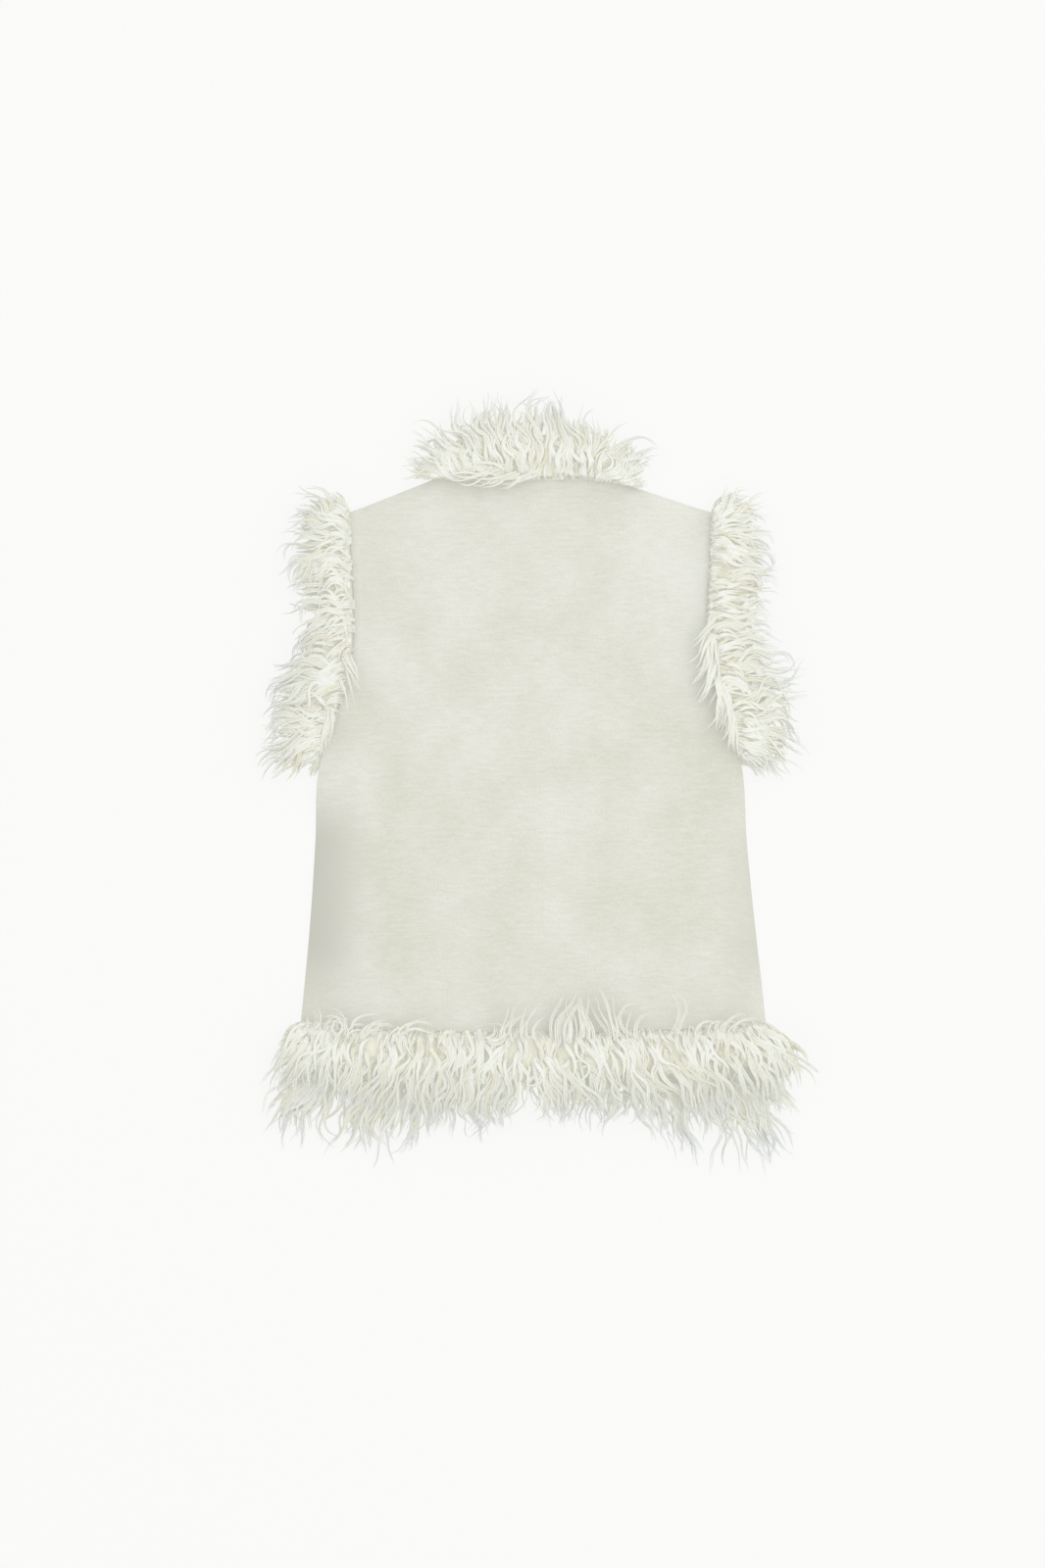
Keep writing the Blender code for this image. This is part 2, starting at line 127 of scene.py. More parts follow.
def back_plan(across, up):
    """Point of the back: across runs from -1 to 1 between its sides, up from 0 at the hem to 1 at the top.

    The width is that of the side edge, and the depth is blended from the bowed hem to the top line.
    """
    edge_depth = blend(HEM_CORNER, SHOULDER_DROP, up)
    hem = HEM_CORNER + HEM_BOW * (1 - across**2)
    depth = blend(hem, top_line(across * SHOULDER_HALF, NECK_DIP), up)
    x = across * half_width(edge_depth) + centre_line(edge_depth)
    return np.stack(np.broadcast_arrays(x, -depth), -1)


back_low, back_high = (np.array(corner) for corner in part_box("back"))
PLACE = np.array([back_low[0] + EDGE_HALF[-1] - HEM_SHIFT, back_high[1], 0])
print("the pattern's neck point lies at", np.round(PLACE, 4))

# %% Plan of a front
FRONT_DROP, FRONT_HEM_RISE, NECK_SCOOP = 0.026, 0.014, 0.078
OPENING_AT_NECK, OPENING_AT_HEM = 0.0015, 0.011
SIDE_SEAM_INSET, SHOULDER_SEAM_INSET = 0.0095, 0.0075
INSET_STARTS, INSET_RUN = UNDERARM - 0.065, 0.060


def front_plan(side, across, up):
    """Point of a front: across runs from 0 at the centre front to 1 at the side, up as on the back.

    Below the armhole its side is set in, and its top is set down, so that the back can roll over both.
    """
    corner = HEM_CORNER + FRONT_DROP
    edge_depth = blend(corner, SHOULDER_DROP + SHOULDER_SEAM_INSET, up)
    inset = SIDE_SEAM_INSET * smoothstep((edge_depth - INSET_STARTS) / INSET_RUN)
    opening = blend(OPENING_AT_HEM, OPENING_AT_NECK, up)
    hem = corner - FRONT_HEM_RISE * (1 - across**2)
    top = top_line(side * blend(opening, SHOULDER_HALF, across), NECK_SCOOP) + SHOULDER_SEAM_INSET
    x = side * blend(opening, half_width(edge_depth) - inset, across) + centre_line(edge_depth)
    return np.stack(np.broadcast_arrays(x, -blend(hem, top, up)), -1)


print("the right front's hem corner:", np.round(front_plan(1, 1.0, 0.0), 4))

# %% [markdown]
# ## Finishes
# A finish is a small tree of nodes. Wiring nodes one by one is long to read, so a wire from a node is
# wrapped here and can be added, multiplied or subtracted like a number: each step becomes one Math node.

# %% A wire that can be reckoned with
class Wire:
    """An output socket of a node tree, with arithmetic."""

    def __init__(self, tree, socket=None):
        self.tree, self.socket = tree, socket

    def node(self, kind, settings=(), sockets=(), output=0):
        """Adds a node: its settings are set first, then its sockets get their values or links."""
        made = self.tree.nodes.new(kind)
        for name, value in dict(settings).items():
            setattr(made, name, value)
        for name, value in dict(sockets).items():
            if isinstance(value, Wire):
                self.tree.links.new(value.socket, made.inputs[name])
            else:
                made.inputs[name].default_value = value
        return Wire(self.tree, made.outputs[output])

    def reckon(self, operation, first, second):
        """A Math node that takes two values, each a number or a wire."""
        return self.node("ShaderNodeMath", {"operation": operation}, {0: first, 1: second})

    def __add__(self, other):
        return self.reckon("ADD", self, other)

    def __radd__(self, other):
        return self.reckon("ADD", other, self)

    def __sub__(self, other):
        return self.reckon("SUBTRACT", self, other)

    def __rsub__(self, other):
        return self.reckon("SUBTRACT", other, self)

    def __mul__(self, other):
        return self.reckon("MULTIPLY", self, other)

    def __rmul__(self, other):
        return self.reckon("MULTIPLY", other, self)

    def mixed(self, first, second):
        """Colour between two others: this wire is the share of the second."""
        sockets = {0: self, 6: first, 7: second}
        return self.node("ShaderNodeMix", {"data_type": "RGBA"}, sockets, output=2)

    def stepped(self, low, high):
        """0 where this wire is under low, 1 where it is over high, and smooth between."""
        sockets = {"Value": self, "From Min": low, "From Max": high}
        return self.node("ShaderNodeMapRange", {"interpolation_type": "SMOOTHSTEP"}, sockets)

    def noise(self, scale, stretch, detail):
        """Noise at this wire's places, with fewer features along an axis whose stretch is under 1."""
        at = self.node("ShaderNodeMapping", {}, {"Vector": self, "Scale": stretch})
        return self.node("ShaderNodeTexNoise", {}, {"Vector": at, "Scale": scale, "Detail": detail})


# %% Start a finish, and plug a wire into its shader
def new_finish(name, roughness, sheen, glow, glow_strength):
    """A material with its shader, and a wire to start its tree from. Constant values are set here."""
    material = bpy.data.materials.new(name)
    material.use_nodes = True
    shader = material.node_tree.nodes["Principled BSDF"]
    constants = {
        "Roughness": roughness, "Specular IOR Level": 0.25, "Sheen Weight": sheen, "Sheen Roughness": 0.45,
        "Emission Color": glow, "Emission Strength": glow_strength,
    }
    for socket, value in constants.items():
        shader.inputs[socket].default_value = value
    return material, shader, Wire(material.node_tree)


def plug(wire, shader, socket):
    """Links a wire to a socket of the shader."""
    wire.tree.links.new(wire.socket, shader.inputs[socket])


def plug_bump(height, shader, strength, distance):
    """Gives the shader a bump of that height."""
    sockets = {"Strength": strength, "Distance": distance, "Height": height}
    plug(height.node("ShaderNodeBump", {}, sockets), shader, "Normal")


# %% [markdown]
# ## Suede cloth
# Suede cloth is brushed until its weave nearly goes: what is left is a soft, cloudy nap with fine slubs
# that run across the back. A picture could be tiled over it, but noise stretched along X gives the same
# slubs without a repeat, and it can drive both the colour and a very shallow bump. Light and shade are
# painted into the colour as well: a painted highlight on the right shoulder blade, fainter painted shade
# lower down, and darker painted shade along the flanks between the armholes and the hem, where the cloth
# rolls away from the light. A faint painted glow lifts the shade that the fur casts on the cloth.

# %% Colours of the suede, and where light and shade are painted on it
SUEDE_DARK, SUEDE_PALE = (0.314, 0.312, 0.256, 1), (0.404, 0.406, 0.380, 1)
# A darker colour for the painted shade along the flanks
SUEDE_FLANK_SHADE = (0.235, 0.235, 0.205, 1)
SUEDE_GLOW, SHADE_RANGE = (1.00, 1.00, 0.90, 1), (0.33, 0.67)

# From and to which place across the back, or from and to which depth below its neck: painted shade on the
# flanks, a painted highlight on the right shoulder blade, and fainter painted shade lower down
LEFT_FLANK, RIGHT_FLANK, RIGHT_FLANK_SHARE = (-0.17, -0.25), (0.18, 0.25), 0.55
BELOW_ARMHOLE, ABOVE_HEM = (0.325, 0.400), (0.590, 0.500)
RIGHT_BLADE, BLADE_HEIGHT, BLADE_PAINTED_LIGHT = (0.09, 0.19), (0.24, 0.15), 0.12
LEFT_SHADE_BAND, LEFT_SHADE_BAND_END, LEFT_PAINTED_SHADE = (-0.12, -0.16), (-0.165, -0.20), 0.08
RIGHT_HALF, RIGHT_PAINTED_SHADE, PAINTED_SHADE_BELOW = (0.02, 0.10), 0.06, (0.22, 0.32)

# %% Suede cloth
def suede_finish():
    """Shade, a weighted sum of four noises, a painted highlight and fainter painted shade, mixes two colours.

    The flanks are mixed with a third, their painted shade, and the three finer noises are summed to the
    height of the bump.
    """
    # A faint painted glow lifts the shade that the fur casts on the cloth
    material, shader, start = new_finish(
        "brushed_suede", roughness=0.95, sheen=0.20, glow=SUEDE_GLOW, glow_strength=0.28)
    place = start.node("ShaderNodeTexCoord", output=3)
    cloud = place.noise(13, (1, 1, 1), 3)
    slub = place.noise(300, (0.22, 1, 1), 2)
    thread = place.noise(900, (0.30, 1, 1), 1)
    nap = place.noise(420, (1, 1, 1), 2)
    out = start.node("ShaderNodeSeparateXYZ", {}, {0: place})
    along = start.node("ShaderNodeSeparateXYZ", {}, {0: place}, output=1)

    def by_depth(depths):
        """0 at the first depth below the neck, 1 at the second."""
        return along.stepped(*(PLACE[1] - depth for depth in depths))

    # Painted shade along both flanks, between the armholes and the hem
    sides = out.stepped(*LEFT_FLANK) + RIGHT_FLANK_SHARE * out.stepped(*RIGHT_FLANK)
    above_hem = by_depth(ABOVE_HEM)
    flank_shade = sides * by_depth(BELOW_ARMHOLE) * above_hem
    # Painted highlight on the right shoulder blade
    blade_highlight = BLADE_PAINTED_LIGHT * (out.stepped(*RIGHT_BLADE) * by_depth(BLADE_HEIGHT))
    # Fainter painted shade lower down: on the left, inside the flanks' shade, and over the right half
    left_shade_band = out.stepped(*LEFT_SHADE_BAND) - out.stepped(*LEFT_SHADE_BAND_END)
    lower_shade_weight = LEFT_PAINTED_SHADE * left_shade_band + RIGHT_PAINTED_SHADE * out.stepped(*RIGHT_HALF)
    lower_shade = lower_shade_weight * above_hem * by_depth(PAINTED_SHADE_BELOW)
    shade = 0.36 * cloud + 0.24 * slub + 0.14 * thread + 0.26 * nap + blade_highlight - lower_shade
    nap_colour = shade.stepped(*SHADE_RANGE).mixed(SUEDE_DARK, SUEDE_PALE)
    plug(flank_shade.mixed(nap_colour, SUEDE_FLANK_SHADE), shader, "Base Color")
    plug_bump(0.5 * slub + 0.3 * nap + 0.2 * thread, shader, strength=0.35, distance=0.0008)
    return material


SUEDE = suede_finish()
print("finish:", SUEDE.name, len(SUEDE.node_tree.nodes), "nodes")

# %% [markdown]
# ## Fur
# Each hair has a painted highlight along its crest and a beige painted shade down its sides. Deep locks and
# the undercoat get a darker, warmer painted shade, that of the gaps between the locks, and thin tips that
# stand out past the pile are painted cooler and greyer, as they look against the light. Each kind of lock
# could have a material of its own, but three numbers on the mesh do as well: how far round its hair a point
# is, in the UV map, the lock's painted shade with a random spread of its own colour, and how far past the
# pile's edge the point lies. A faint painted glow lifts the shade between the locks; it stands for the light
# that shines through hair.

# %% Fur
# Painted shade deep in the pile and down each hair's sides, a painted highlight on its crest, and painted
# grey for tips past the pile
FUR_DEEP_SHADE, FUR_SIDE_SHADE = (0.440, 0.382, 0.215, 1), (0.455, 0.422, 0.318, 1)
FUR_CREST_HIGHLIGHT, FUR_EDGE_SHADE = (0.555, 0.570, 0.562, 1), (0.420, 0.438, 0.450, 1)
FUR_GLOW = (0.97, 1.00, 0.90, 1)
UNDERSIDE, CREST_RANGE, FIBRE_GRAIN = 1.5, (0.25, 1.60), (14, 2.5, 1)


def fur_finish():
    """The square of how far round a hair a point is from its underside mixes the painted shade of its sides
    with the painted highlight of its crest.

    The lock's painted shade and colour mix that with the deep painted shade, and how far past the pile it is
    with the edge's painted grey.
    """
    # A faint painted glow lifts the shade between the locks
    material, shader, start = new_finish(
        "wavy_fur", roughness=0.62, sheen=0.25, glow=FUR_GLOW, glow_strength=0.33)
    fibre = start.node("ShaderNodeUVMap", {"uv_map": "fibre"})
    around = start.node("ShaderNodeSeparateXYZ", {}, {0: fibre}) - UNDERSIDE
    tone = start.node("ShaderNodeAttribute", {"attribute_name": "tone"}, output=2)
    past = start.node("ShaderNodeAttribute", {"attribute_name": "past"}, output=2)
    lock = (around * around).stepped(*CREST_RANGE).mixed(FUR_SIDE_SHADE, FUR_CREST_HIGHLIGHT)
    plug(past.mixed(tone.mixed(lock, FUR_DEEP_SHADE), FUR_EDGE_SHADE), shader, "Base Color")
    plug_bump(fibre.noise(1, FIBRE_GRAIN, 1), shader, strength=0.5, distance=0.0005)
    return material


FUR = fur_finish()
print("finish:", FUR.name, len(FUR.node_tree.nodes), "nodes")

# %% [markdown]
# ## Meshes from whole arrays
# Every piece below is a set of points and faces worked out by numpy. Setting them one by one would be slow
# with hundreds of thousands of points, so each array goes into the mesh in one step.

# %% Put arrays into a mesh
def add_object(name, data):
    """An object of the scene that shows this data."""
    made = bpy.data.objects.new(name, data)
    bpy.context.scene.collection.objects.link(made)
    return made


def add_piece(name, node, points, faces, finish, uv=None, marks=None, normals=None):
    """A piece that rides on the vest and stands for a solid: faces lists blocks of quads or triangles."""
    mesh = bpy.data.meshes.new(name)
    mesh.vertices.add(len(points))
    mesh.vertices.foreach_set("co", (points + PLACE).astype(np.float32).ravel())
    corners = np.concatenate([block.ravel() for block in faces]).astype(np.int32)
    sides = np.concatenate([np.full(len(block), block.shape[1]) for block in faces])
    mesh.loops.add(len(corners))
    mesh.loops.foreach_set("vertex_index", corners)
    mesh.polygons.add(len(sides))
    mesh.polygons.foreach_set("loop_start", (np.cumsum(sides) - sides).astype(np.int32))
    mesh.update(calc_edges=True)
    if uv is not None:
        layer = mesh.uv_layers.new(name="fibre")
        layer.data.foreach_set("uv", uv.astype(np.float32).ravel())
    for mark, values in (marks or {}).items():
        mesh.attributes.new(mark, "FLOAT", "POINT").data.foreach_set("value", values.astype(np.float32))
    mesh.shade_smooth()
    if normals is not None:
        mesh.normals_split_custom_set_from_vertices(normals)
    mesh.materials.append(finish)
    piece = add_object(name, mesh)
    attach(piece, "root")
    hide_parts(node)
    return piece


def raised(plan, height):
    """Points x, y, z from points of the plan, with a height for each."""
    return np.concatenate([plan, height[..., None]], axis=-1)


def grid_quads(rows, columns, closed=False):
    """Quads between neighbours in a grid that is numbered row by row, closed round if asked."""
    steps = np.arange(rows - 1), np.arange(columns if closed else columns - 1)
    row, column = np.meshgrid(*steps, indexing="ij")
    here, beside = row * columns + column, row * columns + (column + 1) % columns
    return np.stack([here, beside, beside + columns, here + columns], axis=-1).reshape(-1, 4)


# %% [markdown]
# ## The back
# The back is one piece of cloth. It lies on the fronts, so its sides roll down to them below the armholes
# and its shoulders roll down to theirs. Nobody pulled it quite flat: a few shallow troughs, crests, creases
# and ripples are left, and the seam allowance makes a low ridge along each armhole. A simulation would find
# folds of its own, so these are listed, each as a bell along its length and across its width.

# %% Folds of the back
Fold = namedtuple("Fold", "place x below_neck turn half_length half_width lift")
BACK_FOLDS = (
    Fold("left flank trough", -0.165, 0.360, 106, 0.070, 0.022, -0.0011),
    Fold("left hip trough", -0.175, 0.500, 95, 0.080, 0.028, -0.0009),
    Fold("right flank trough", 0.178, 0.355, 60, 0.050, 0.026, -0.0010),
    Fold("right armhole trough", 0.125, 0.250, 150, 0.055, 0.022, -0.0010),
    Fold("mid back trough", -0.020, 0.180, 5, 0.090, 0.026, -0.0008),
    Fold("right shoulder blade crest", 0.120, 0.140, 85, 0.070, 0.034, 0.0014),
    Fold("left shoulder trough", -0.165, 0.075, 10, 0.050, 0.022, -0.0008),
    Fold("right hem trough", 0.137, 0.562, 80, 0.040, 0.020, -0.0009),
    Fold("lower back crest", -0.010, 0.440, 100, 0.110, 0.045, 0.0008),
    Fold("crease under the right armhole", 0.137, 0.247, 34, 0.020, 0.006, -0.0008),
    Fold("crease at the right hem", 0.137, 0.565, 82, 0.020, 0.007, -0.0007),
    Fold("crease on the left flank", -0.166, 0.356, 106, 0.040, 0.009, -0.0009),
    Fold("ripple below the left armhole", -0.190, 0.275, 130, 0.030, 0.009, 0.0007),
    Fold("ripple at the waist", 0.060, 0.420, 12, 0.060, 0.013, -0.0005),
    Fold("ripple at the left hem", -0.120, 0.545, 70, 0.035, 0.011, 0.0006),
)


def fold_lift(x, y):
    """Sum of the folds, each its lift times e to the minus squared distances along and across it."""
    x, y = x[..., None], y[..., None]
    centre_x, depth, turn, half_length, half_across, lift = np.array([fold[1:] for fold in BACK_FOLDS]).T
    sine, cosine = np.sin(np.radians(turn)), np.cos(np.radians(turn))
    along = (x - centre_x) * cosine + (y + depth) * sine
    aside = (y + depth) * cosine - (x - centre_x) * sine
    return (lift * np.exp(-((along / half_length) ** 2) - (aside / half_across) ** 2)).sum(axis=-1)


# %% Height of the back
BACK_TOP, ROLL_EDGE_TOP = 0.0096, 0.0018
LEFT_ROLL_SHARE, RIGHT_ROLL_SHARE, SHOULDER_ROLL_SHARE = 0.19, 0.08, 0.028
ROLL_STARTS_BELOW, ROLL_FULL_BELOW = 0.320, 0.390
NECK_FADE, TIP_FADE, FOLD_FADE = 0.018, 0.10, 0.06
ARMHOLE_BELOW, ARMHOLE_FADE = 0.250, 0.060
SEAM_RIDGE, RIDGE_WIDTH, RIDGE_FADE = 0.0007, 0.006, 0.005
EDGE_TURN, EDGE_TURN_WIDTH = 0.0014, 0.004


def back_height(across, up, x, y):
    """Level plus folds and the armholes' ridges, blended down to the edge's height by two rolls.

    A side's roll is halfway between a quarter circle and a parabola. A shoulder's is a quarter circle, and
    so is the turn of the cloth's edge at the armholes.
    """
    rolls = smoothstep((-y - ROLL_STARTS_BELOW) / (ROLL_FULL_BELOW - ROLL_STARTS_BELOW))
    roll_share = np.where(across < 0, LEFT_ROLL_SHARE, RIGHT_ROLL_SHARE)
    in_roll = np.clip((1 - np.abs(across)) / roll_share, 0, 1)
    side = 1 - rolls * blend(1 - quarter_round(in_roll), (1 - in_roll) ** 2, 0.5)
    past_neck = smoothstep((np.abs(across) * SHOULDER_HALF - NECK_HALF) / NECK_FADE)
    to_tip = smoothstep((1 - np.abs(across)) / TIP_FADE)
    shoulder = 1 - past_neck * to_tip * (1 - quarter_round((1 - up) / SHOULDER_ROLL_SHARE))
    from_edge = (1 - np.abs(across)) * half_width(-y)
    armhole = 1 - smoothstep((-y - ARMHOLE_BELOW) / ARMHOLE_FADE)
    ridge = SEAM_RIDGE * armhole * (1 - smoothstep((from_edge - RIDGE_WIDTH) / RIDGE_FADE))
    turned_under = EDGE_TURN * armhole * (1 - quarter_round(from_edge / EDGE_TURN_WIDTH))
    folds = fold_lift(x, y) * smoothstep(np.minimum(up, 1 - up) / FOLD_FADE)
    return blend(ROLL_EDGE_TOP, BACK_TOP + folds + ridge - turned_under, side * shoulder)


# %% Cloth from a grid of points
WALL = 0.003


def add_cloth(name, node, plan, height, thickness):
    """Thin cloth: a grid of points on its upper side, faced up, with its wall below it."""
    points = raised(plan, height).reshape(-1, 3)
    cloth = add_piece(name, node, points, [grid_quads(*height.shape)], SUEDE)
    if cloth.data.polygons[len(cloth.data.polygons) // 2].normal.z < 0:
        cloth.data.flip_normals()
    wall = cloth.modifiers.new("wall", "SOLIDIFY")
    wall.thickness, wall.offset = thickness, -1
    return cloth


def add_panel(node, plan, height, flat):
    """A panel of the vest, whose wall is as thick on its rolls as on the level."""
    panel = add_cloth(f"{node}_cloth", node, plan, height, WALL)
    panel.modifiers["wall"].use_even_offset = True
    area = sum(face.area for face in panel.data.polygons)
    min(area, flat[0] * flat[1])
    print(panel.name, "flat", np.round(flat, 3), "area", round(area, 4))


# %% Make the back
BACK_COLUMNS, BACK_ROWS = 125, 141


def gathered_to_ends(count):
    """Shares from -1 to 1, t (3 - t^2) / 2, whose steps close up towards both ends."""
    t = np.linspace(-1, 1, count)
    return t * (3 - t**2) / 2


across, up = np.meshgrid(gathered_to_ends(BACK_COLUMNS), (gathered_to_ends(BACK_ROWS) + 1) / 2)
plan = back_plan(across, up)
height = back_height(across, up, plan[..., 0], plan[..., 1])
flat = (2 * EDGE_HALF[-1], HEM_CORNER + HEM_BOW)
add_panel("back", plan, height, flat)

# %% [markdown]
# ## The fronts
# The fronts lie under the back, so only a little of them can be seen, from low down. They could have folds
# too, but none show, and they rest on the surface, which keeps them flat. So each is a level grid.

# %% Make the fronts
FRONT_COLUMNS, FRONT_ROWS = 31, 61
across, up = np.meshgrid(np.linspace(0, 1, FRONT_COLUMNS), np.linspace(0, 1, FRONT_ROWS))
for name, side in (("front_left", -1), ("front_right", 1)):
    plan = front_plan(side, across, up)
    flat = (float(np.ptp(plan[..., 0])), float(np.ptp(plan[..., 1])))
    add_panel(name, plan, np.full(across.shape, WALL), flat)

# %% [markdown]
# ## The seams that carry fur
# A trim is a strip of fur cloth sewn along an edge, and its hair points away from that edge. At the end of
# a seam the hair fans round the corner. Hair could be scattered over the solids instead, but rows that
# follow a seam lie as combed fur does. So each seam is kept here as even steps along its edge, with the way
# that the hair points and how far it reaches at every step.

# %% Ends of the trims
# How far the hair is turned there, in degrees, over which length of seam, and how far past the end it goes
End = namedtuple("End", "turn turn_run past")
LEFT_HEM_CORNER, RIGHT_HEM_CORNER = End(58, 0.060, 0.014), End(48, 0.060, 0.032)
FRONT_HEM_CORNER, CENTRE_FRONT_HEM = End(52, 0.060, 0.028), End(-8, 0.040, 0.040)
SHOULDER, UNDERARM_POINT = End(70, 0.050, 0.020), End(58, 0.050, 0.022)
NECK_POINT, FRONT_NECK_POINT = End(102, 0.050, 0.020), End(40, 0.050, 0.012)
CENTRE_FRONT_NECK = End(-14, 0.040, 0.040)

# %% The two piles
# Heights of a pile over its base, from behind the seam to past its own edge, and its closed section
Pile = namedtuple("Pile", "base reach top section")
LOFTY = Pile(
    0.0079,
    0.074,
    ((-0.030, 0.0028), (-0.012, 0.0042), (-0.006, 0.0065), (0.000, 0.0125), (0.017, 0.0210),
     (0.034, 0.0230), (0.043, 0.0220), (0.058, 0.0190), (0.067, 0.0150), (0.074, 0.0100), (0.086, 0.0050),
     (0.110, 0.0005)),
    ((0.000, 0.0014), (0.030, 0.0014), (0.042, 0.0020), (0.049, 0.0065), (0.045, 0.0125), (0.038, 0.0162),
     (0.028, 0.0172), (0.014, 0.0132), (0.006, 0.0070), (0.001, 0.0032)),
)
PRESSED = Pile(
    0.0006,
    0.088,
    ((-0.010, 0.0030), (0.000, 0.0046), (0.040, 0.0062), (0.080, 0.0058), (0.088, 0.0040), (0.110, 0.0018)),
    ((0.000, 0.0012), (0.030, 0.0012), (0.048, 0.0014), (0.052, 0.0020), (0.048, 0.0032), (0.030, 0.0040),
     (0.010, 0.0036), (0.000, 0.0026)),
)

# %% The trims
# Reach and rise scale the pile, dome shortens it towards both ends, and full lists how full it is at which
# share of the seam
Trim = namedtuple("Trim", "pile reach rise dome first last full")
EVEN = ((0, 1), (1, 1))
HEM_BACK = Trim(
    LOFTY, 1.04, 1.00, 0.00, LEFT_HEM_CORNER, RIGHT_HEM_CORNER,
    ((0, 0.95), (0.06, 0.86), (0.16, 0.84), (0.26, 1.02), (0.42, 1.04), (0.60, 0.94), (0.80, 1.0),
     (0.90, 0.86), (1, 0.95)),
)
HEM_FRONT = Trim(
    PRESSED, 0.96, 1.00, 0.00, FRONT_HEM_CORNER, CENTRE_FRONT_HEM,
    ((0, 0.92), (0.12, 0.95), (0.25, 1.12), (0.42, 1.16), (0.65, 1.0), (1, 0.84)),
)
RIGHT_HEM_FRONT = HEM_FRONT._replace(
    full=((0, 1.0), (0.15, 1.10), (0.30, 1.04), (0.50, 0.98), (0.75, 0.92), (1, 0.84)),
)
ARMHOLE_BACK = Trim(
    LOFTY, 0.80, 0.92, 0.00, SHOULDER, UNDERARM_POINT,
    ((0, 0.78), (0.20, 0.96), (0.47, 0.80), (0.68, 1.00), (0.82, 1.00), (0.93, 0.90), (1, 0.84)),
)
FULLER_ARMHOLE_BACK = ARMHOLE_BACK._replace(
    full=((0, 0.72), (0.20, 0.98), (0.50, 0.90), (0.68, 1.08), (0.82, 1.12), (0.93, 0.90), (1, 0.75)),
)
ARMHOLE_FRONT = Trim(PRESSED, 0.58, 1.00, 0.00, SHOULDER, UNDERARM_POINT, EVEN)
COLLAR_BACK = Trim(
    LOFTY, 0.95, 0.96, 0.40, NECK_POINT, NECK_POINT,
    ((0, 0.95), (0.08, 0.80), (0.18, 0.89), (0.35, 0.99), (0.5, 1.04), (0.68, 1.02), (0.80, 0.89),
     (0.90, 0.76), (1, 0.86)),
)
COLLAR_FRONT = Trim(PRESSED, 0.42, 0.72, 0.00, CENTRE_FRONT_NECK, FRONT_NECK_POINT, EVEN)

# %% Read values off a line
def lengths_along(line):
    """Length run at each point of a line: the sum of the steps up to it."""
    return np.r_[0, np.cumsum(np.hypot(*np.diff(line, axis=0).T))]


def read_off(listed, values, places):
    """Numbers or vectors at any places, in a straight line between those of the listed places."""
    if values.ndim == 1:
        return np.interp(places, listed, values)
    return np.stack([np.interp(places, listed, column) for column in values.T], axis=-1)


# %% Steps along a seam
Seam = namedtuple("Seam", "run point out reach rise")
SEAM_STEPS, SEAM_GAP, END_RISE, ROUND_LENGTH = 120, 0.0003, 0.55, 0.020


def seam_along(edge, trim):
    """Even steps along an edge that is run counter-clockwise, so that the fur is on its right.

    The hair points square out, turned at the ends by an angle that fades with the square of the distance.
    Its reach is the trim's times its fullness, cut where it would go further past the end of the seam than
    the trim does. Its rise falls towards the ends in a quarter circle.
    """
    lengths = lengths_along(edge)
    run = np.linspace(0, lengths[-1], SEAM_STEPS)
    left = run[-1] - run
    point = read_off(lengths, edge, run)
    along = unit(np.gradient(point, axis=0))
    square_out = np.stack([along[:, 1], -along[:, 0]], axis=-1)
    first = trim.first.turn * np.maximum(1 - run / trim.first.turn_run, 0) ** 2
    last = trim.last.turn * np.maximum(1 - left / trim.last.turn_run, 0) ** 2
    turn = np.radians(last - first)
    past = np.where(turn > 0, trim.last.past + left, trim.first.past + run)
    sideways = trim.pile.reach * trim.reach * np.sin(np.abs(turn))
    middle = 1 - trim.dome * ((run - left) / run[-1]) ** 2
    reach = trim.reach * np.minimum(past / np.maximum(sideways, 1e-6), middle)
    reach = reach * np.interp(run / run[-1], *np.array(trim.full).T)
    rise = trim.rise * blend(END_RISE, 1, quarter_round(np.minimum(run, left) / ROUND_LENGTH))
    return Seam(run, point + square_out * SEAM_GAP, turned(square_out, turn), reach, rise)


def seam_at(seam, run):
    """The same values at any runs along the seam, with the hair's direction made a unit again."""
    here = Seam(*(read_off(seam.run, values, run) for values in seam))
    return here._replace(out=unit(here.out))


# %% Every seam of the vest
ARMHOLE_END, NECK_END, FRONT_ARMHOLE_END, FRONT_NECK_END = 0.5303, 0.5075, 5 / 9, 0.5
EDGE_POINTS = 160
even = np.linspace(0, 1, EDGE_POINTS)
armhole_down, front_armhole_down = blend(1, ARMHOLE_END, even), blend(1, FRONT_ARMHOLE_END, even)
armhole_up, front_armhole_up = blend(ARMHOLE_END, 1, even), blend(FRONT_ARMHOLE_END, 1, even)


def turned_round(trim):
    """The same trim on a seam that is run the other way: its ends change places, and a share s is 1 - s."""
    full = tuple((1 - share, fullness) for share, fullness in reversed(trim.full))
    return trim._replace(first=trim.last, last=trim.first, full=full)


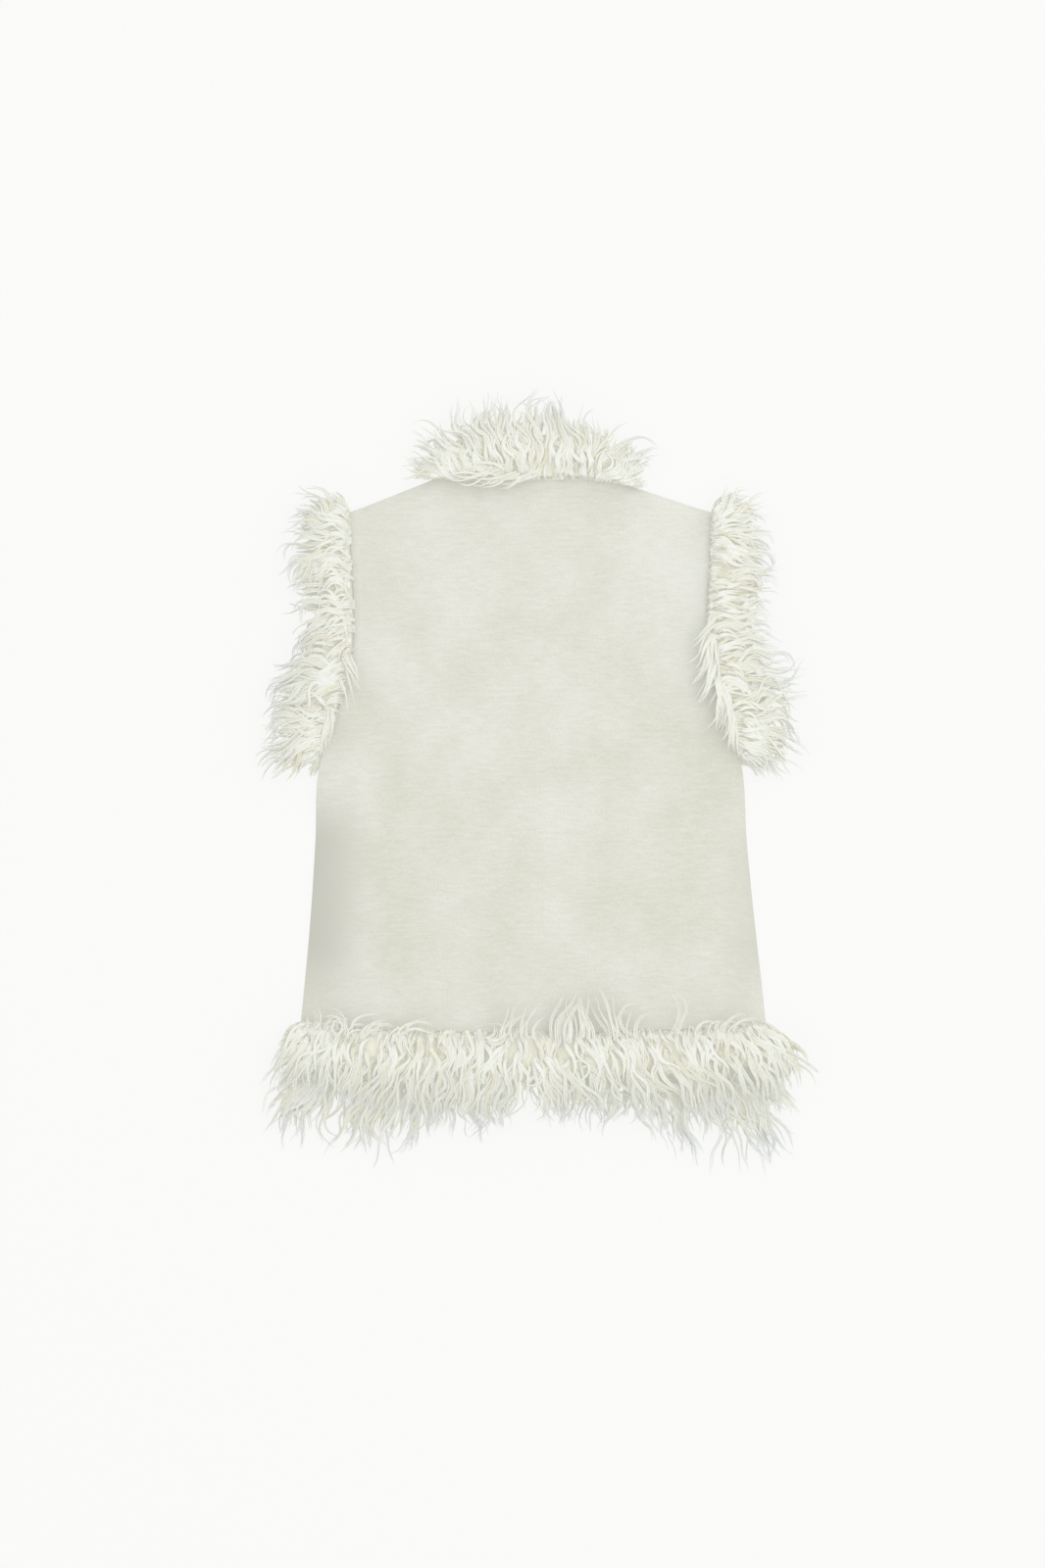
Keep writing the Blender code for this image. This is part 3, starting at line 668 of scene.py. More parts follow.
TRIMS = {
    "hem_trim_back": (HEM_BACK, back_plan(2 * even - 1, 0.0)),
    "armhole_trim_back_left": (ARMHOLE_BACK, back_plan(-1.0, armhole_down)),
    "armhole_trim_back_right": (turned_round(FULLER_ARMHOLE_BACK), back_plan(1.0, armhole_up)),
    "collar_back": (COLLAR_BACK, back_plan(blend(NECK_END, -NECK_END, even), 1.0)),
    "hem_trim_front_left": (HEM_FRONT, front_plan(-1, 1 - even, 0.0)),
    "hem_trim_front_right": (turned_round(RIGHT_HEM_FRONT), front_plan(1, even, 0.0)),
    "armhole_trim_front_left": (ARMHOLE_FRONT, front_plan(-1, 1.0, front_armhole_down)),
    "armhole_trim_front_right": (turned_round(ARMHOLE_FRONT), front_plan(1, 1.0, front_armhole_up)),
    "collar_front_left": (COLLAR_FRONT, front_plan(-1, FRONT_NECK_END * even, 1.0)),
    "collar_front_right": (turned_round(COLLAR_FRONT), front_plan(1, FRONT_NECK_END * (1 - even), 1.0)),
}
SEAMS = {node: seam_along(edge, trim) for node, (trim, edge) in TRIMS.items()}
print("seams:", {node: round(float(seam.run[-1]), 3) for node, seam in SEAMS.items()})

# %% [markdown]
# ## Backing strips
# Under the hair every trim is a strip of knitted backing, sewn along the edge by one side. It hardly shows
# and could be left out, but it is what a maker would cut, so it is made as a thin sheet under the pile.

# %% Make the backing strips
STRIP_WIDTH, STRIP_WALL, STRIP_POINTS = 0.036, 0.0010, 4


def add_strip(node):
    """A row of points at the pile's base, from the seam outwards, carried along it: width times reach."""
    trim, seam = TRIMS[node][0], SEAMS[node]
    width = STRIP_WIDTH * np.minimum(seam.reach, 1)
    shares = np.linspace(0, 1, STRIP_POINTS)
    plan = seam.point[:, None] + seam.out[:, None] * (width[:, None] * shares)[..., None]
    height = np.full(plan.shape[:2], trim.pile.base + STRIP_WALL)
    strip = add_cloth(f"{node}_strip", node, plan, height, STRIP_WALL)
    return strip, (float(width.mean()), float(seam.run[-1]))


strips = {node: add_strip(node) for node in TRIMS}
print("mean widths:", {node: round(flat[0], 4) for node, (strip, flat) in strips.items()})

# %% [markdown]
# ## The undercoat
# Between its locks long fur shows a short, dense undercoat. Hair by hair it would take millions of faces,
# so it is one soft body: the section of the pile carried along the seam, a little smaller than the pile,
# tapered at both ends, and uneven all over, so that light and dark patches show through the locks. It is
# painted warmer and darker than the locks, most near its top, where the locks part: the painted shade of
# the gaps between them.

# %% Section of the undercoat
SECTION_POINTS = 26


def rounded_section(corners):
    """Evenly spaced points on a closed section, each then averaged twice with its neighbours."""
    closed = np.array((*corners, corners[0]))
    lengths = lengths_along(closed)
    section = read_off(lengths, closed, np.linspace(0, lengths[-1], SECTION_POINTS, endpoint=False))
    for _ in range(2):
        section = (np.roll(section, 1, axis=0) + 2 * section + np.roll(section, -1, axis=0)) / 4
    return section


print("lofty section is", np.round(np.ptp(rounded_section(LOFTY.section), axis=0), 4), "wide and high")

# %% Make the undercoat
END_SIZE, END_TAPER, STRIP_CLEAR = 0.25, 0.024, 0.0002
LONG_WAVE, SHORT_WAVE, UNEVEN, EVEN_BELOW = 0.0041, 0.0027, 0.035, 0.003
# Grain, and how much of the deep painted shade the undercoat gets low down and high up, growing from which
# share of its height
GRAIN_ALONG, GRAIN_ROUND, UNDERCOAT_LOW_SHADE, UNDERCOAT_HIGH_SHADE, SHADE_FROM = 60, 0.02, 0.35, 0.58, 0.2


def add_undercoat(node):
    """The section times reach and rise, carried along the seam, with both ends tapered and closed.

    It swells by the sum of a long and a short sine along the seam, whose phases change round the section.
    """
    trim, seam = TRIMS[node][0], SEAMS[node]
    section = rounded_section(trim.pile.section)
    angle = np.linspace(0, 2 * np.pi, SECTION_POINTS, endpoint=False)
    run = seam.run[:, None]
    waves = np.sin(run / LONG_WAVE + 2 * np.sin(3 * angle)) + np.sin(run / SHORT_WAVE - 2 * angle + 1.3)
    uneven = 1 + UNEVEN * waves * (section[:, 1] > EVEN_BELOW)
    to_end = np.minimum(seam.run, seam.run[-1] - seam.run)
    taper = blend(END_SIZE, 1, quarter_round(to_end / END_TAPER))[:, None]
    reach = section[:, 0] * seam.reach[:, None] * uneven * taper
    rise = section[:, 1] * seam.rise[:, None] * uneven * taper
    rise = np.maximum(rise, STRIP_WALL + STRIP_CLEAR)
    plan = seam.point[:, None] + seam.out[:, None] * np.maximum(reach, 0)[..., None]
    ring = raised(plan, trim.pile.base + rise)
    points = np.concatenate([ring.reshape(-1, 3), ring[[0, -1]].mean(axis=1)])
    here, beside = np.arange(SECTION_POINTS), (np.arange(SECTION_POINTS) + 1) % SECTION_POINTS
    last = (SEAM_STEPS - 1) * SECTION_POINTS
    first_end, last_end = len(points) - 2, len(points) - 1
    caps = np.concatenate([
        np.stack([beside, here, np.full_like(here, first_end)], axis=-1),
        np.stack([last + here, last + beside, np.full_like(here, last_end)], axis=-1),
    ])
    sides = grid_quads(SEAM_STEPS, SECTION_POINTS, closed=True)
    corner = np.concatenate([sides.ravel(), caps.ravel()])
    grain_along, grain_round = np.repeat(seam.run, SECTION_POINTS), np.tile(angle, SEAM_STEPS)
    grain = np.stack([grain_along * GRAIN_ALONG, grain_round * GRAIN_ROUND], axis=-1)
    uv = np.concatenate([grain, grain[[0, -1]]])[corner]
    # More of the deep painted shade towards the undercoat's top, where it shows between the locks
    high = smoothstep((points[:, 2] - trim.pile.base) / section[:, 1].max() - SHADE_FROM)
    marks = {"tone": blend(UNDERCOAT_LOW_SHADE, UNDERCOAT_HIGH_SHADE, high), "past": np.zeros(len(points))}
    return add_piece(f"{node}_undercoat", node, points, [sides, caps], FUR, uv, marks)


undercoats = {node: add_undercoat(node) for node in TRIMS}
print("undercoats:", len(undercoats), "of", len(undercoats["collar_back"].data.vertices), "points each")

# %% [markdown]
# ## Locks of hair
# Long fur gathers into locks: a few fibres that leave the backing together, bend together and end in one
# point. Blender's hair could grow them, but meshes export and can be shaped lock by lock. A lock's path
# starts at its root and is walked in short steps. Its heading turns steadily from one side of the straight
# way to the other, which bends the lock into a bow, and waves as it goes. Its pitch starts steep, levels
# out and droops. The path is then held above the layer of the pile that the lock lies on, and tapered hairs
# are wound round it.

# %% Height of a pile
LEAST_REACH = 0.05


def pile_height(trim, seam, reach_out):
    """Height of the pile's top at a distance out from its seam, read off the pile's table.

    On the fur's own side of the seam its reach stretches the table, and its rise scales the height.
    """
    out, top = np.array(trim.pile.top).T
    shrunk = np.where(reach_out > 0, reach_out / np.maximum(seam.reach[:, None], LEAST_REACH), reach_out)
    return np.interp(shrunk, out, top) * np.where(reach_out > 0, seam.rise[:, None], 1)


# %% Paths of the locks
Locks = namedtuple("Locks", "run root tip bow swing wave phase lift droop level start thick tone")
RINGS, SETTLED_BY = 16, 0.3
COAT_LEAN, LEAN_FROM, LEAN_RUN = 0.6, 0.4, 0.9
# Tips are painted grey, as they look against the light, in two steps: by which share, from which share of the
# pile's reach, over how much more
GREYS_BY_STEPS = ((0.2, 0.4, 0.4), (0.8, 0.92, 0.35))


def lock_paths(node, locks):
    """Walks every lock from its root to its tip: a bow of b radians each way is b / sin b times its chord.

    The heading is that of the chord + b (1 - 2t) + swing sin(wave), the pitch lift (1 - t)^1.5 - droop t.
    Also gives the way that the coat faces there, up and leaning out towards its edge, and how far past that
    edge it is, as a sum of smooth steps, which sets the painted grey of the tips.
    """
    trim, seam = TRIMS[node][0], seam_at(SEAMS[node], locks.run)
    t = np.linspace(0, 1, RINGS)
    chord = locks.tip - locks.root
    straight = np.hypot(chord[:, 0], chord[:, 1])
    length = straight / np.sinc(locks.bow / np.pi)
    phase = 2 * np.pi * length[:, None] * t / locks.wave[:, None] + locks.phase[:, None]
    heading = locks.bow[:, None] * (1 - 2 * t) + locks.swing[:, None] * np.sin(phase)
    step = length[:, None] / (RINGS - 1)
    steps = turned(unit(chord)[:, None], heading) * step[..., None]
    plan = locks.root[:, None] + np.cumsum(steps, axis=1) - steps[:, :1]
    pitch = locks.lift[:, None] * (1 - t) ** 1.5 - locks.droop[:, None] * t
    rise = np.cumsum(step * np.sin(pitch), axis=1)
    reach_out = ((plan - seam.point[:, None]) * seam.out[:, None]).sum(axis=-1)
    layer = locks.level[:, None] * blend(locks.start[:, None], 1, smoothstep(t / SETTLED_BY))
    held = pile_height(trim, seam, reach_out) * layer
    height = trim.pile.base + np.maximum(held[:, :1] + rise, held)
    outwards = reach_out / (trim.pile.reach * np.maximum(seam.reach[:, None], LEAST_REACH))
    lean = COAT_LEAN * smoothstep((outwards - LEAN_FROM) / LEAN_RUN)
    facing = raised(seam.out[:, None] * lean[..., None], np.ones_like(lean))
    past = sum(share * smoothstep((outwards - start) / run) for share, start, run in GREYS_BY_STEPS)
    return raised(plan, height), unit(facing), past


# %% Hairs wound round a path
HAIRS, HAIR_RADIUS, LOCK_SPREAD = 2, 0.00155, 0.0014
ROOT_SPREAD, TIP_SPREADS, LOCK_FLATNESS, WINDS_BY, SLIPS_BY = 0.9, (0.1, 0.9), 0.7, 2.0, 0.007


def path_frame(paths):
    """Directions ahead, to the side and above along each path: its steps and two cross products."""
    ahead = unit(np.gradient(paths, axis=1))
    side = unit(np.cross(ahead, (0, 0, 1)))
    return ahead, side, np.cross(side, ahead)


def wound_hairs(paths, rng):
    """Hairs beside each path, on a flat ring that winds round it, held above the floor.

    The ring's size is blended from that at the root to each hair's own at the tip, and hairs slip along.
    """
    count = len(paths)
    ahead, side, above = path_frame(paths)
    t = np.linspace(0, 1, RINGS)
    start = rng.uniform(0, 2 * np.pi, count)[:, None] + 2 * np.pi / HAIRS * np.arange(HAIRS)
    angle = start[..., None] + rng.uniform(-WINDS_BY, WINDS_BY, count)[:, None, None] * t
    tip_spread = rng.uniform(*TIP_SPREADS, (count, HAIRS))[..., None]
    spread = LOCK_SPREAD * ((1 - t) * ROOT_SPREAD + t * tip_spread)
    upwards = LOCK_FLATNESS * np.sin(angle)[..., None] * above[:, None]
    offset = np.cos(angle)[..., None] * side[:, None] + upwards
    shift = rng.uniform(-SLIPS_BY, SLIPS_BY, (count, HAIRS))[..., None, None] * ahead[:, None] * t[:, None]
    hairs = paths[:, None] + offset * spread[..., None] + shift
    hairs[..., 2] = np.maximum(hairs[..., 2], HAIR_RADIUS)
    return hairs.reshape(-1, RINGS, 3)


# %% A tube for each hair
THINNER_BY, THINS_WITH, HAIR_FLATNESS, COAT_SHARE = 0.88, 2.2, 0.8, 0.82


def hair_tubes(hairs, facing, radius):
    """Three-sided tubes with a pointed tip and a closed root, whose radius falls as 1 - a t^b.

    Hair is lit through as well as from outside, so its normals are drawn towards the way the coat faces.
    The UV map gives how far round the hair a point is, 0 and 3 at its crest, where the finish paints a
    highlight, and how far along it.
    """
    count = len(hairs)
    _, side, above = path_frame(hairs)
    t = np.linspace(0, 1, RINGS)
    angle = np.pi / 2 + 2 * np.pi / 3 * np.arange(3)
    upwards = HAIR_FLATNESS * np.sin(angle)[:, None] * above[..., None, :]
    around = np.cos(angle)[:, None] * side[..., None, :] + upwards
    size = radius[:, None] * (1 - THINNER_BY * t**THINS_WITH)
    rings = (hairs[:, :, None] + around * size[..., None, None])[:, :-1].reshape(count, -1, 3)
    points = np.concatenate([rings, hairs[:, -1:]], axis=1)
    soft = unit((1 - COAT_SHARE) * around + COAT_SHARE * facing[:, :, None])[:, :-1].reshape(count, -1, 3)
    normals = np.concatenate([soft, facing[:, -1:]], axis=1)
    ring, corner = (part.ravel() for part in np.meshgrid(np.arange(RINGS - 2), np.arange(3), indexing="ij"))
    here, beside = 3 * ring + corner, 3 * ring + (corner + 1) % 3
    quads = np.stack([here, here + 3, beside + 3, beside], axis=-1)
    tip, last = 3 * (RINGS - 1), 3 * (RINGS - 2)
    ends = np.array([[0, 1, 2]] + [[last + k, tip, last + (k + 1) % 3] for k in range(3)])
    first_points = (np.arange(count) * (tip + 1))[:, None, None]
    v, w = ring / (RINGS - 1), (ring + 1) / (RINGS - 1)
    quad_uv = np.stack([corner, v, corner, w, corner + 1, w, corner + 1, v], axis=-1).reshape(-1, 2)
    near = (RINGS - 2) / (RINGS - 1)
    tip_uv = [uv for k in range(3) for uv in ((k, near), (k + 0.5, 1), (k + 1, near))]
    end_uv = np.array([[0, 0], [1, 0], [2, 0]] + tip_uv)
    faces = [(quads + first_points).reshape(-1, 4), (ends + first_points).reshape(-1, 3)]
    uv = np.concatenate([np.tile(quad_uv, (count, 1)), np.tile(end_uv, (count, 1))])
    return points.reshape(-1, 3), faces, uv, normals.reshape(-1, 3)


# %% [markdown]
# ## Rows of locks
# A coat is laid like thatch, in rows. Locks under its edge and deep locks fill the pile, the outer row
# makes its edge, an upper row falls from the seam over both, short locks hide the seam, and a few thin
# wisps stand out past the rest. Locks could be strewn without rows, but then bare places show. In each row
# the roots lie anywhere, but the tips meet in tufts, and the waves of a tuft run together. Towards the ends
# of a seam the hair is combed smoother. Roots and tips are shares of the pile's reach from its seam.

# %% The rows of a coat
# Share is the row's locks over the coat's, level how high in the pile the row lies, start the share of that
# at its roots, and gather how far its tips are drawn together. A row's painted shade is mostly darker the
# deeper it lies in the pile
Row = namedtuple("Row", "place share root tip level start tone thick bow gather")
LOFTY_ROWS = (
    Row("under", 0.09, (0.40, 0.62), (0.80, 1.10), (0.20, 0.55), 0.8, 0.35, 1.00, 0.35, 0.50),
    Row("deep", 0.22, (0.00, 0.56), (0.40, 1.06), (0.76, 0.90), 0.8, 0.50, 1.00, 0.35, 0.70),
    Row("outer", 0.20, (0.22, 0.58), (1.00, 1.20), (0.90, 1.04), 0.8, 0.20, 1.00, 0.42, 0.60),
    Row("upper", 0.17, (-0.03, 0.30), (0.50, 0.92), (1.02, 1.18), 0.5, 0.00, 1.35, 0.50, 0.62),
    Row("seam", 0.20, (-0.05, 0.04), (0.16, 0.46), (1.00, 1.16), 0.2, 0.10, 1.05, 0.45, 0.45),
    Row("wisps", 0.17, (0.30, 0.60), (1.16, 1.44), (0.90, 1.06), 0.8, 0.20, 0.85, 0.32, 0.30),
)
PRESSED_ROWS = (
    Row("deep", 0.38, (0.05, 0.60), (0.60, 0.98), (0.70, 0.90), 0.9, 0.40, 1.30, 0.30, 0.70),
    Row("outer", 0.36, (0.25, 0.62), (0.92, 1.18), (0.90, 1.00), 0.9, 0.20, 1.10, 0.32, 0.70),
    Row("wisps", 0.26, (0.40, 0.68), (1.12, 1.46), (0.90, 1.00), 0.9, 0.15, 0.90, 0.32, 0.30),
)

# %% How each coat is combed
# Each entry of a comb is a share of the seam, how far the tips lean there from square out, in degrees, and
# how far the locks bow there, in radians
Coat = namedtuple("Coat", "locks tousle overlap lift comb")
COATS = {
    "hem_trim_back": Coat(900, 0.010, 0.05, 1.0, (
        (0, 0, -0.45), (0.15, -10, -0.15), (0.30, -14, 0), (0.42, -8, 0), (0.56, 8, 0), (0.70, 16, 0),
        (0.88, 12, 0.15), (1, 0, 0.45))),
    "armhole_trim_back_left": Coat(540, 0.008, 0.02, 1.0, (
        (0, 0, -0.55), (0.2, 4, -0.55), (0.5, 16, -0.50), (0.8, 20, -0.25), (1, 0, -0.10))),
    "armhole_trim_back_right": Coat(540, 0.008, 0.00, 1.0, (
        (0, 0, 0.10), (0.2, -12, 0.20), (0.5, -10, 0.48), (0.75, -4, 0.52), (1, 0, 0.52))),
    "collar_back": Coat(560, 0.006, 0.01, 1.0, (
        (0, -2, -0.35), (0.15, 3, -0.15), (0.35, 9, 0.10), (0.5, 4, 0.25), (0.7, 8, 0.25), (0.9, 0, 0.30),
        (1, 0, 0.30))),
    "hem_trim_front_left": Coat(360, 0.006, 0.00, 1.0, ((0, 0, -0.35), (0.4, -12, -0.10), (1, 4, 0))),
    "hem_trim_front_right": Coat(360, 0.006, 0.00, 1.0, ((0, 0, 0), (0.6, 4, 0.00), (1, 0, 0.30))),
    "armhole_trim_front_left": Coat(190, 0.005, 0.00, 1.0, (
        (0, 0, -0.20), (0.6, 14, -0.20), (1, 0, -0.20))),
    "armhole_trim_front_right": Coat(190, 0.005, 0.00, 1.0, (
        (0, 0, 0.20), (0.4, -14, 0.20), (1, 0, 0.20))),
    "collar_front_left": Coat(60, 0.002, 0.00, 0.2, ((0, 0, 0), (1, 0, 0))),
    "collar_front_right": Coat(60, 0.002, 0.00, 0.2, ((0, 0, 0), (1, 0, 0))),
}

print("coats to comb:", len(COATS))

# %% Points out from a seam
def out_from(node, run, reach):
    """Plan points at any runs along a seam and any distances out from it: point + out times reach."""
    here = seam_at(SEAMS[node], np.clip(run, 0, SEAMS[node].run[-1]))
    return here.point + here.out * reach[:, None]


# %% Comb one row
TUFT_STEP, TUFT_SHIFT, LOOSE_LENGTH = 0.019, 0.35, 0.050
DRIFT, DRIFT_WAVE, DRIFT_CHANGES = 0.011, 0.011, 0.05
CALM_SHARE, END_CALM, END_TIP, END_SLACK = 0.16, 0.40, 1.2, 1.6
FAN_REACH, PLAIN_WEIGHT, BOW_SPREAD = 0.045, 0.6, 0.7
TUFT_WAVES, TUFT_SWINGS = (0.036, 0.060), (0.6, 1.8)
TIP_SHARES, WAVE_SHARES, SWING_SHARES = (0.88, 1.08), (0.94, 1.06), (0.7, 1.3)
LIFTS, DROOPS, PHASE_SPREAD, TONE_SPREAD = (0.15, 0.50), (0.10, 0.45), 0.35, 0.20


def combed_row(node, row, rng):
    """One row of a coat: roots spread over the pile's own area, and tips drawn together into tufts.

    More locks grow where the hair fans: a place's weight is its reach times a plain weight + how fast the
    hair turns there. A tip's place along the seam is its root's, drawn to the tuft's middle, then moved by
    the comb's lean, a slow drift and chance, which grows with a lock's length and fades at the seam's ends.
    """
    coat, seam, pile = COATS[node], SEAMS[node], TRIMS[node][0].pile
    n = round(coat.locks * row.share)
    heading = np.unwrap(np.arctan2(seam.out[:, 1], seam.out[:, 0]))
    fan = np.abs(np.gradient(heading, seam.run)) * FAN_REACH
    weight = (PLAIN_WEIGHT + fan) * np.minimum(seam.reach / seam.reach.max(), 1)
    run = np.interp(rng.random(n), np.cumsum(weight) / weight.sum(), seam.run)
    centres = np.arange(-TUFT_STEP, seam.run[-1] + 2 * TUFT_STEP, TUFT_STEP)
    centres = centres + rng.uniform(-TUFT_SHIFT, TUFT_SHIFT, len(centres)) * TUFT_STEP
    tuft = np.abs(run[:, None] - centres).argmin(axis=1)

    def of_tuft(values):
        """One value for each tuft, given to all its locks."""
        return values[tuft]

    def full_at(place):
        """Reach of the pile, in metres, at any runs along the seam."""
        return pile.reach * np.interp(place, seam.run, seam.reach)

    full = full_at(run)
    root = np.maximum(rng.uniform(*row.root, n), -coat.overlap)
    root = np.where(root > 0, root * full, root * pile.reach)
    tip = of_tuft(rng.uniform(*row.tip, len(centres))) * rng.uniform(*TIP_SHARES, n)
    inside = smoothstep(np.minimum(run, seam.run[-1] - run) / (CALM_SHARE * seam.run[-1]))
    tip = blend(np.minimum(tip, END_TIP), tip, inside)
    share, leans, arches = np.array(coat.comb).T
    lean, arch = (np.interp(run / seam.run[-1], share, column) for column in (leans, arches))
    drift = DRIFT * np.sin(run / DRIFT_WAVE + 4 * np.sin(run / DRIFT_CHANGES)) * inside
    loose = np.minimum(tip * full / LOOSE_LENGTH, 1) * blend(END_CALM, 1, inside)
    tip_run = blend(run, centres[tuft], row.gather * loose * inside) + tip * full * np.tan(np.radians(lean))
    tip_run = tip_run + (drift + rng.normal(0, coat.tousle, n)) * loose
    tip = tip * np.minimum(END_SLACK * full_at(tip_run), full)
    wave = of_tuft(rng.uniform(*TUFT_WAVES, len(centres))) * rng.uniform(*WAVE_SHARES, n)
    swing = of_tuft(rng.uniform(*TUFT_SWINGS, len(centres))) * rng.uniform(*SWING_SHARES, n)
    tousled = BOW_SPREAD * row.bow
    bow = rng.normal(0, tousled, len(centres))
    whole_turn = 2 * np.pi
    return Locks(
        run=run,
        root=out_from(node, run, root),
        tip=out_from(node, tip_run, tip),
        bow=np.clip(arch + loose * (of_tuft(bow) + rng.normal(0, tousled, n)), -1, 1),
        swing=swing * row.bow * loose,
        wave=wave,
        phase=(of_tuft(rng.uniform(0, whole_turn, len(centres))) + whole_turn * root / wave
               + rng.normal(0, PHASE_SPREAD, n)),
        lift=rng.uniform(*LIFTS, n) * coat.lift,
        droop=rng.uniform(*DROOPS, n),
        level=rng.uniform(*row.level, n),
        start=np.full(n, row.start),
        thick=np.full(n, row.thick),
        # The row's painted shade, with a random spread of each lock's own colour
        tone=np.clip(row.tone + rng.normal(0, TONE_SPREAD, n), 0, 1),
    )


# %% [markdown]
# ## Tufts over the seams
# Here and there the hair was not brushed away from the cloth: a tall tuft stands over the middle of the
# hem, curls lie over its left half, a twisted tuft runs along the left of the neck, and beside the armholes
# long locks fall along the seam or back over the cloth. Chance would not put these where they are, so each
# line of a table is one such tuft: the stretch of seam that it grows from, the stretch that its tips come
# to, how far over the cloth they lie, and its bow, up to a loop.

# %% Tufts that lie over the cloth
Tuft = namedtuple("Tuft", "start end locks tip_start tip_end over scatter bow thick")
TUFTS = {
    "hem_trim_back": (
        Tuft(0.015, 0.05, 7, 0.005, 0.03, 0.013, 0.005, -1.1, 0.6),
        Tuft(0.075, 0.10, 5, 0.050, 0.07, 0.013, 0.003, -1.6, 0.6),
        Tuft(0.050, 0.14, 10, 0.070, 0.17, 0.007, 0.006, 0.9, 0.7),
        Tuft(0.100, 0.23, 13, 0.135, 0.275, 0.005, 0.005, 0.9, 0.65),
        Tuft(0.395, 0.43, 6, 0.415, 0.44, 0.011, 0.003, -1.6, 0.7),
        Tuft(0.430, 0.52, 9, 0.440, 0.53, 0.024, 0.007, 0.6, 0.6),
        Tuft(0.500, 0.58, 9, 0.560, 0.60, 0.040, 0.005, 0.30, 0.6),
        Tuft(0.550, 0.63, 9, 0.570, 0.62, 0.036, 0.005, 0.05, 0.6),
        Tuft(0.600, 0.68, 9, 0.600, 0.65, 0.038, 0.005, -0.30, 0.6),
        Tuft(0.680, 0.74, 5, 0.690, 0.75, 0.020, 0.005, 1.2, 0.6),
        Tuft(0.790, 0.81, 2, 0.800, 0.81, 0.038, 0.003, -0.8, 0.5),
        Tuft(0.840, 0.92, 7, 0.870, 0.95, 0.009, 0.006, 1.0, 0.6),
        Tuft(0.900, 0.93, 3, 0.970, 0.99, 0.011, 0.003, 1.0, 0.6),
    ),
    "armhole_trim_back_right": (
        Tuft(0.22, 0.58, 30, 0.06, 0.44, 0.014, 0.008, 0.30, 1.0),
        Tuft(0.10, 0.36, 20, -0.06, 0.16, 0.006, 0.007, 0.25, 1.0),
    ),
    "armhole_trim_back_left": (
        Tuft(0.52, 0.70, 7, 0.64, 0.82, 0.013, 0.004, -0.20, 0.7),
        Tuft(0.74, 0.86, 7, 0.92, 1.04, 0.002, 0.004, -0.20, 0.8),
        Tuft(0.42, 0.57, 12, 0.50, 0.63, -0.022, 0.007, -0.35, 0.9),
        Tuft(0.24, 0.38, 9, 0.29, 0.42, -0.020, 0.007, -0.35, 0.9),
    ),
    "collar_back": (
        Tuft(0.46, 0.74, 14, 0.68, 0.97, 0.003, 0.007, 0.40, 0.75),
        Tuft(0.52, 0.80, 12, 0.76, 1.00, -0.010, 0.008, -0.45, 0.8),
    ),
}
print("locks in tufts:", {node: sum(tuft.locks for tuft in tufts) for node, tufts in TUFTS.items()})

# %% Lay one tuft
LAID_ROOTS, LAID_BOWS, LAID_SWINGS, LAID_WAVES = (0.002, 0.010), (0.6, 1.3), (0.05, 0.35), (0.044, 0.052)
LAID_LIFTS, LAID_DROOPS, LAID_LEVELS = (0.20, 0.50), (0.30, 0.60), (1.00, 1.20)
LAID_PHASE_SPREAD, LAID_TONE, LAID_TONE_SPREAD = 0.4, 0.08, 0.08


def laid_tuft(node, tuft, rng):
    """Locks rooted close to the seam, whose tips come to the same share of the tuft's own stretch of it."""
    seam, n = SEAMS[node], tuft.locks
    share = rng.random(n)
    run = blend(tuft.start, tuft.end, share) * seam.run[-1]
    tip_run = blend(tuft.tip_start, tuft.tip_end, share) * seam.run[-1] + rng.normal(0, tuft.scatter, n)
    return Locks(
        run=run,
        root=out_from(node, run, rng.uniform(*LAID_ROOTS, n)),
        tip=out_from(node, tip_run, rng.normal(-tuft.over, tuft.scatter, n)),
        bow=tuft.bow * rng.uniform(*LAID_BOWS, n),
        swing=rng.uniform(*LAID_SWINGS, n),
        wave=rng.uniform(*LAID_WAVES, n),
        phase=rng.uniform(0, 2 * np.pi) + rng.normal(0, LAID_PHASE_SPREAD, n),
        lift=rng.uniform(*LAID_LIFTS, n),
        droop=rng.uniform(*LAID_DROOPS, n),
        level=rng.uniform(*LAID_LEVELS, n),
        start=np.ones(n),
        thick=np.full(n, tuft.thick),
        # Little painted shade, as these locks lie on top, with a random spread of their own colour
        tone=np.clip(rng.normal(LAID_TONE, LAID_TONE_SPREAD, n), 0, 1),
    )


# %% Make the locks
FIRST_SEED, THICKNESSES = 100, (0.75, 1.15)


def on_tubes(values):
    """Values at the steps of each lock's path, given to the three corners of every ring and to the tip."""
    corners = np.repeat(values[:, :-1], 3, axis=1)
    return np.repeat(np.concatenate([corners, values[:, -1:]], axis=1), HAIRS, axis=0).ravel()


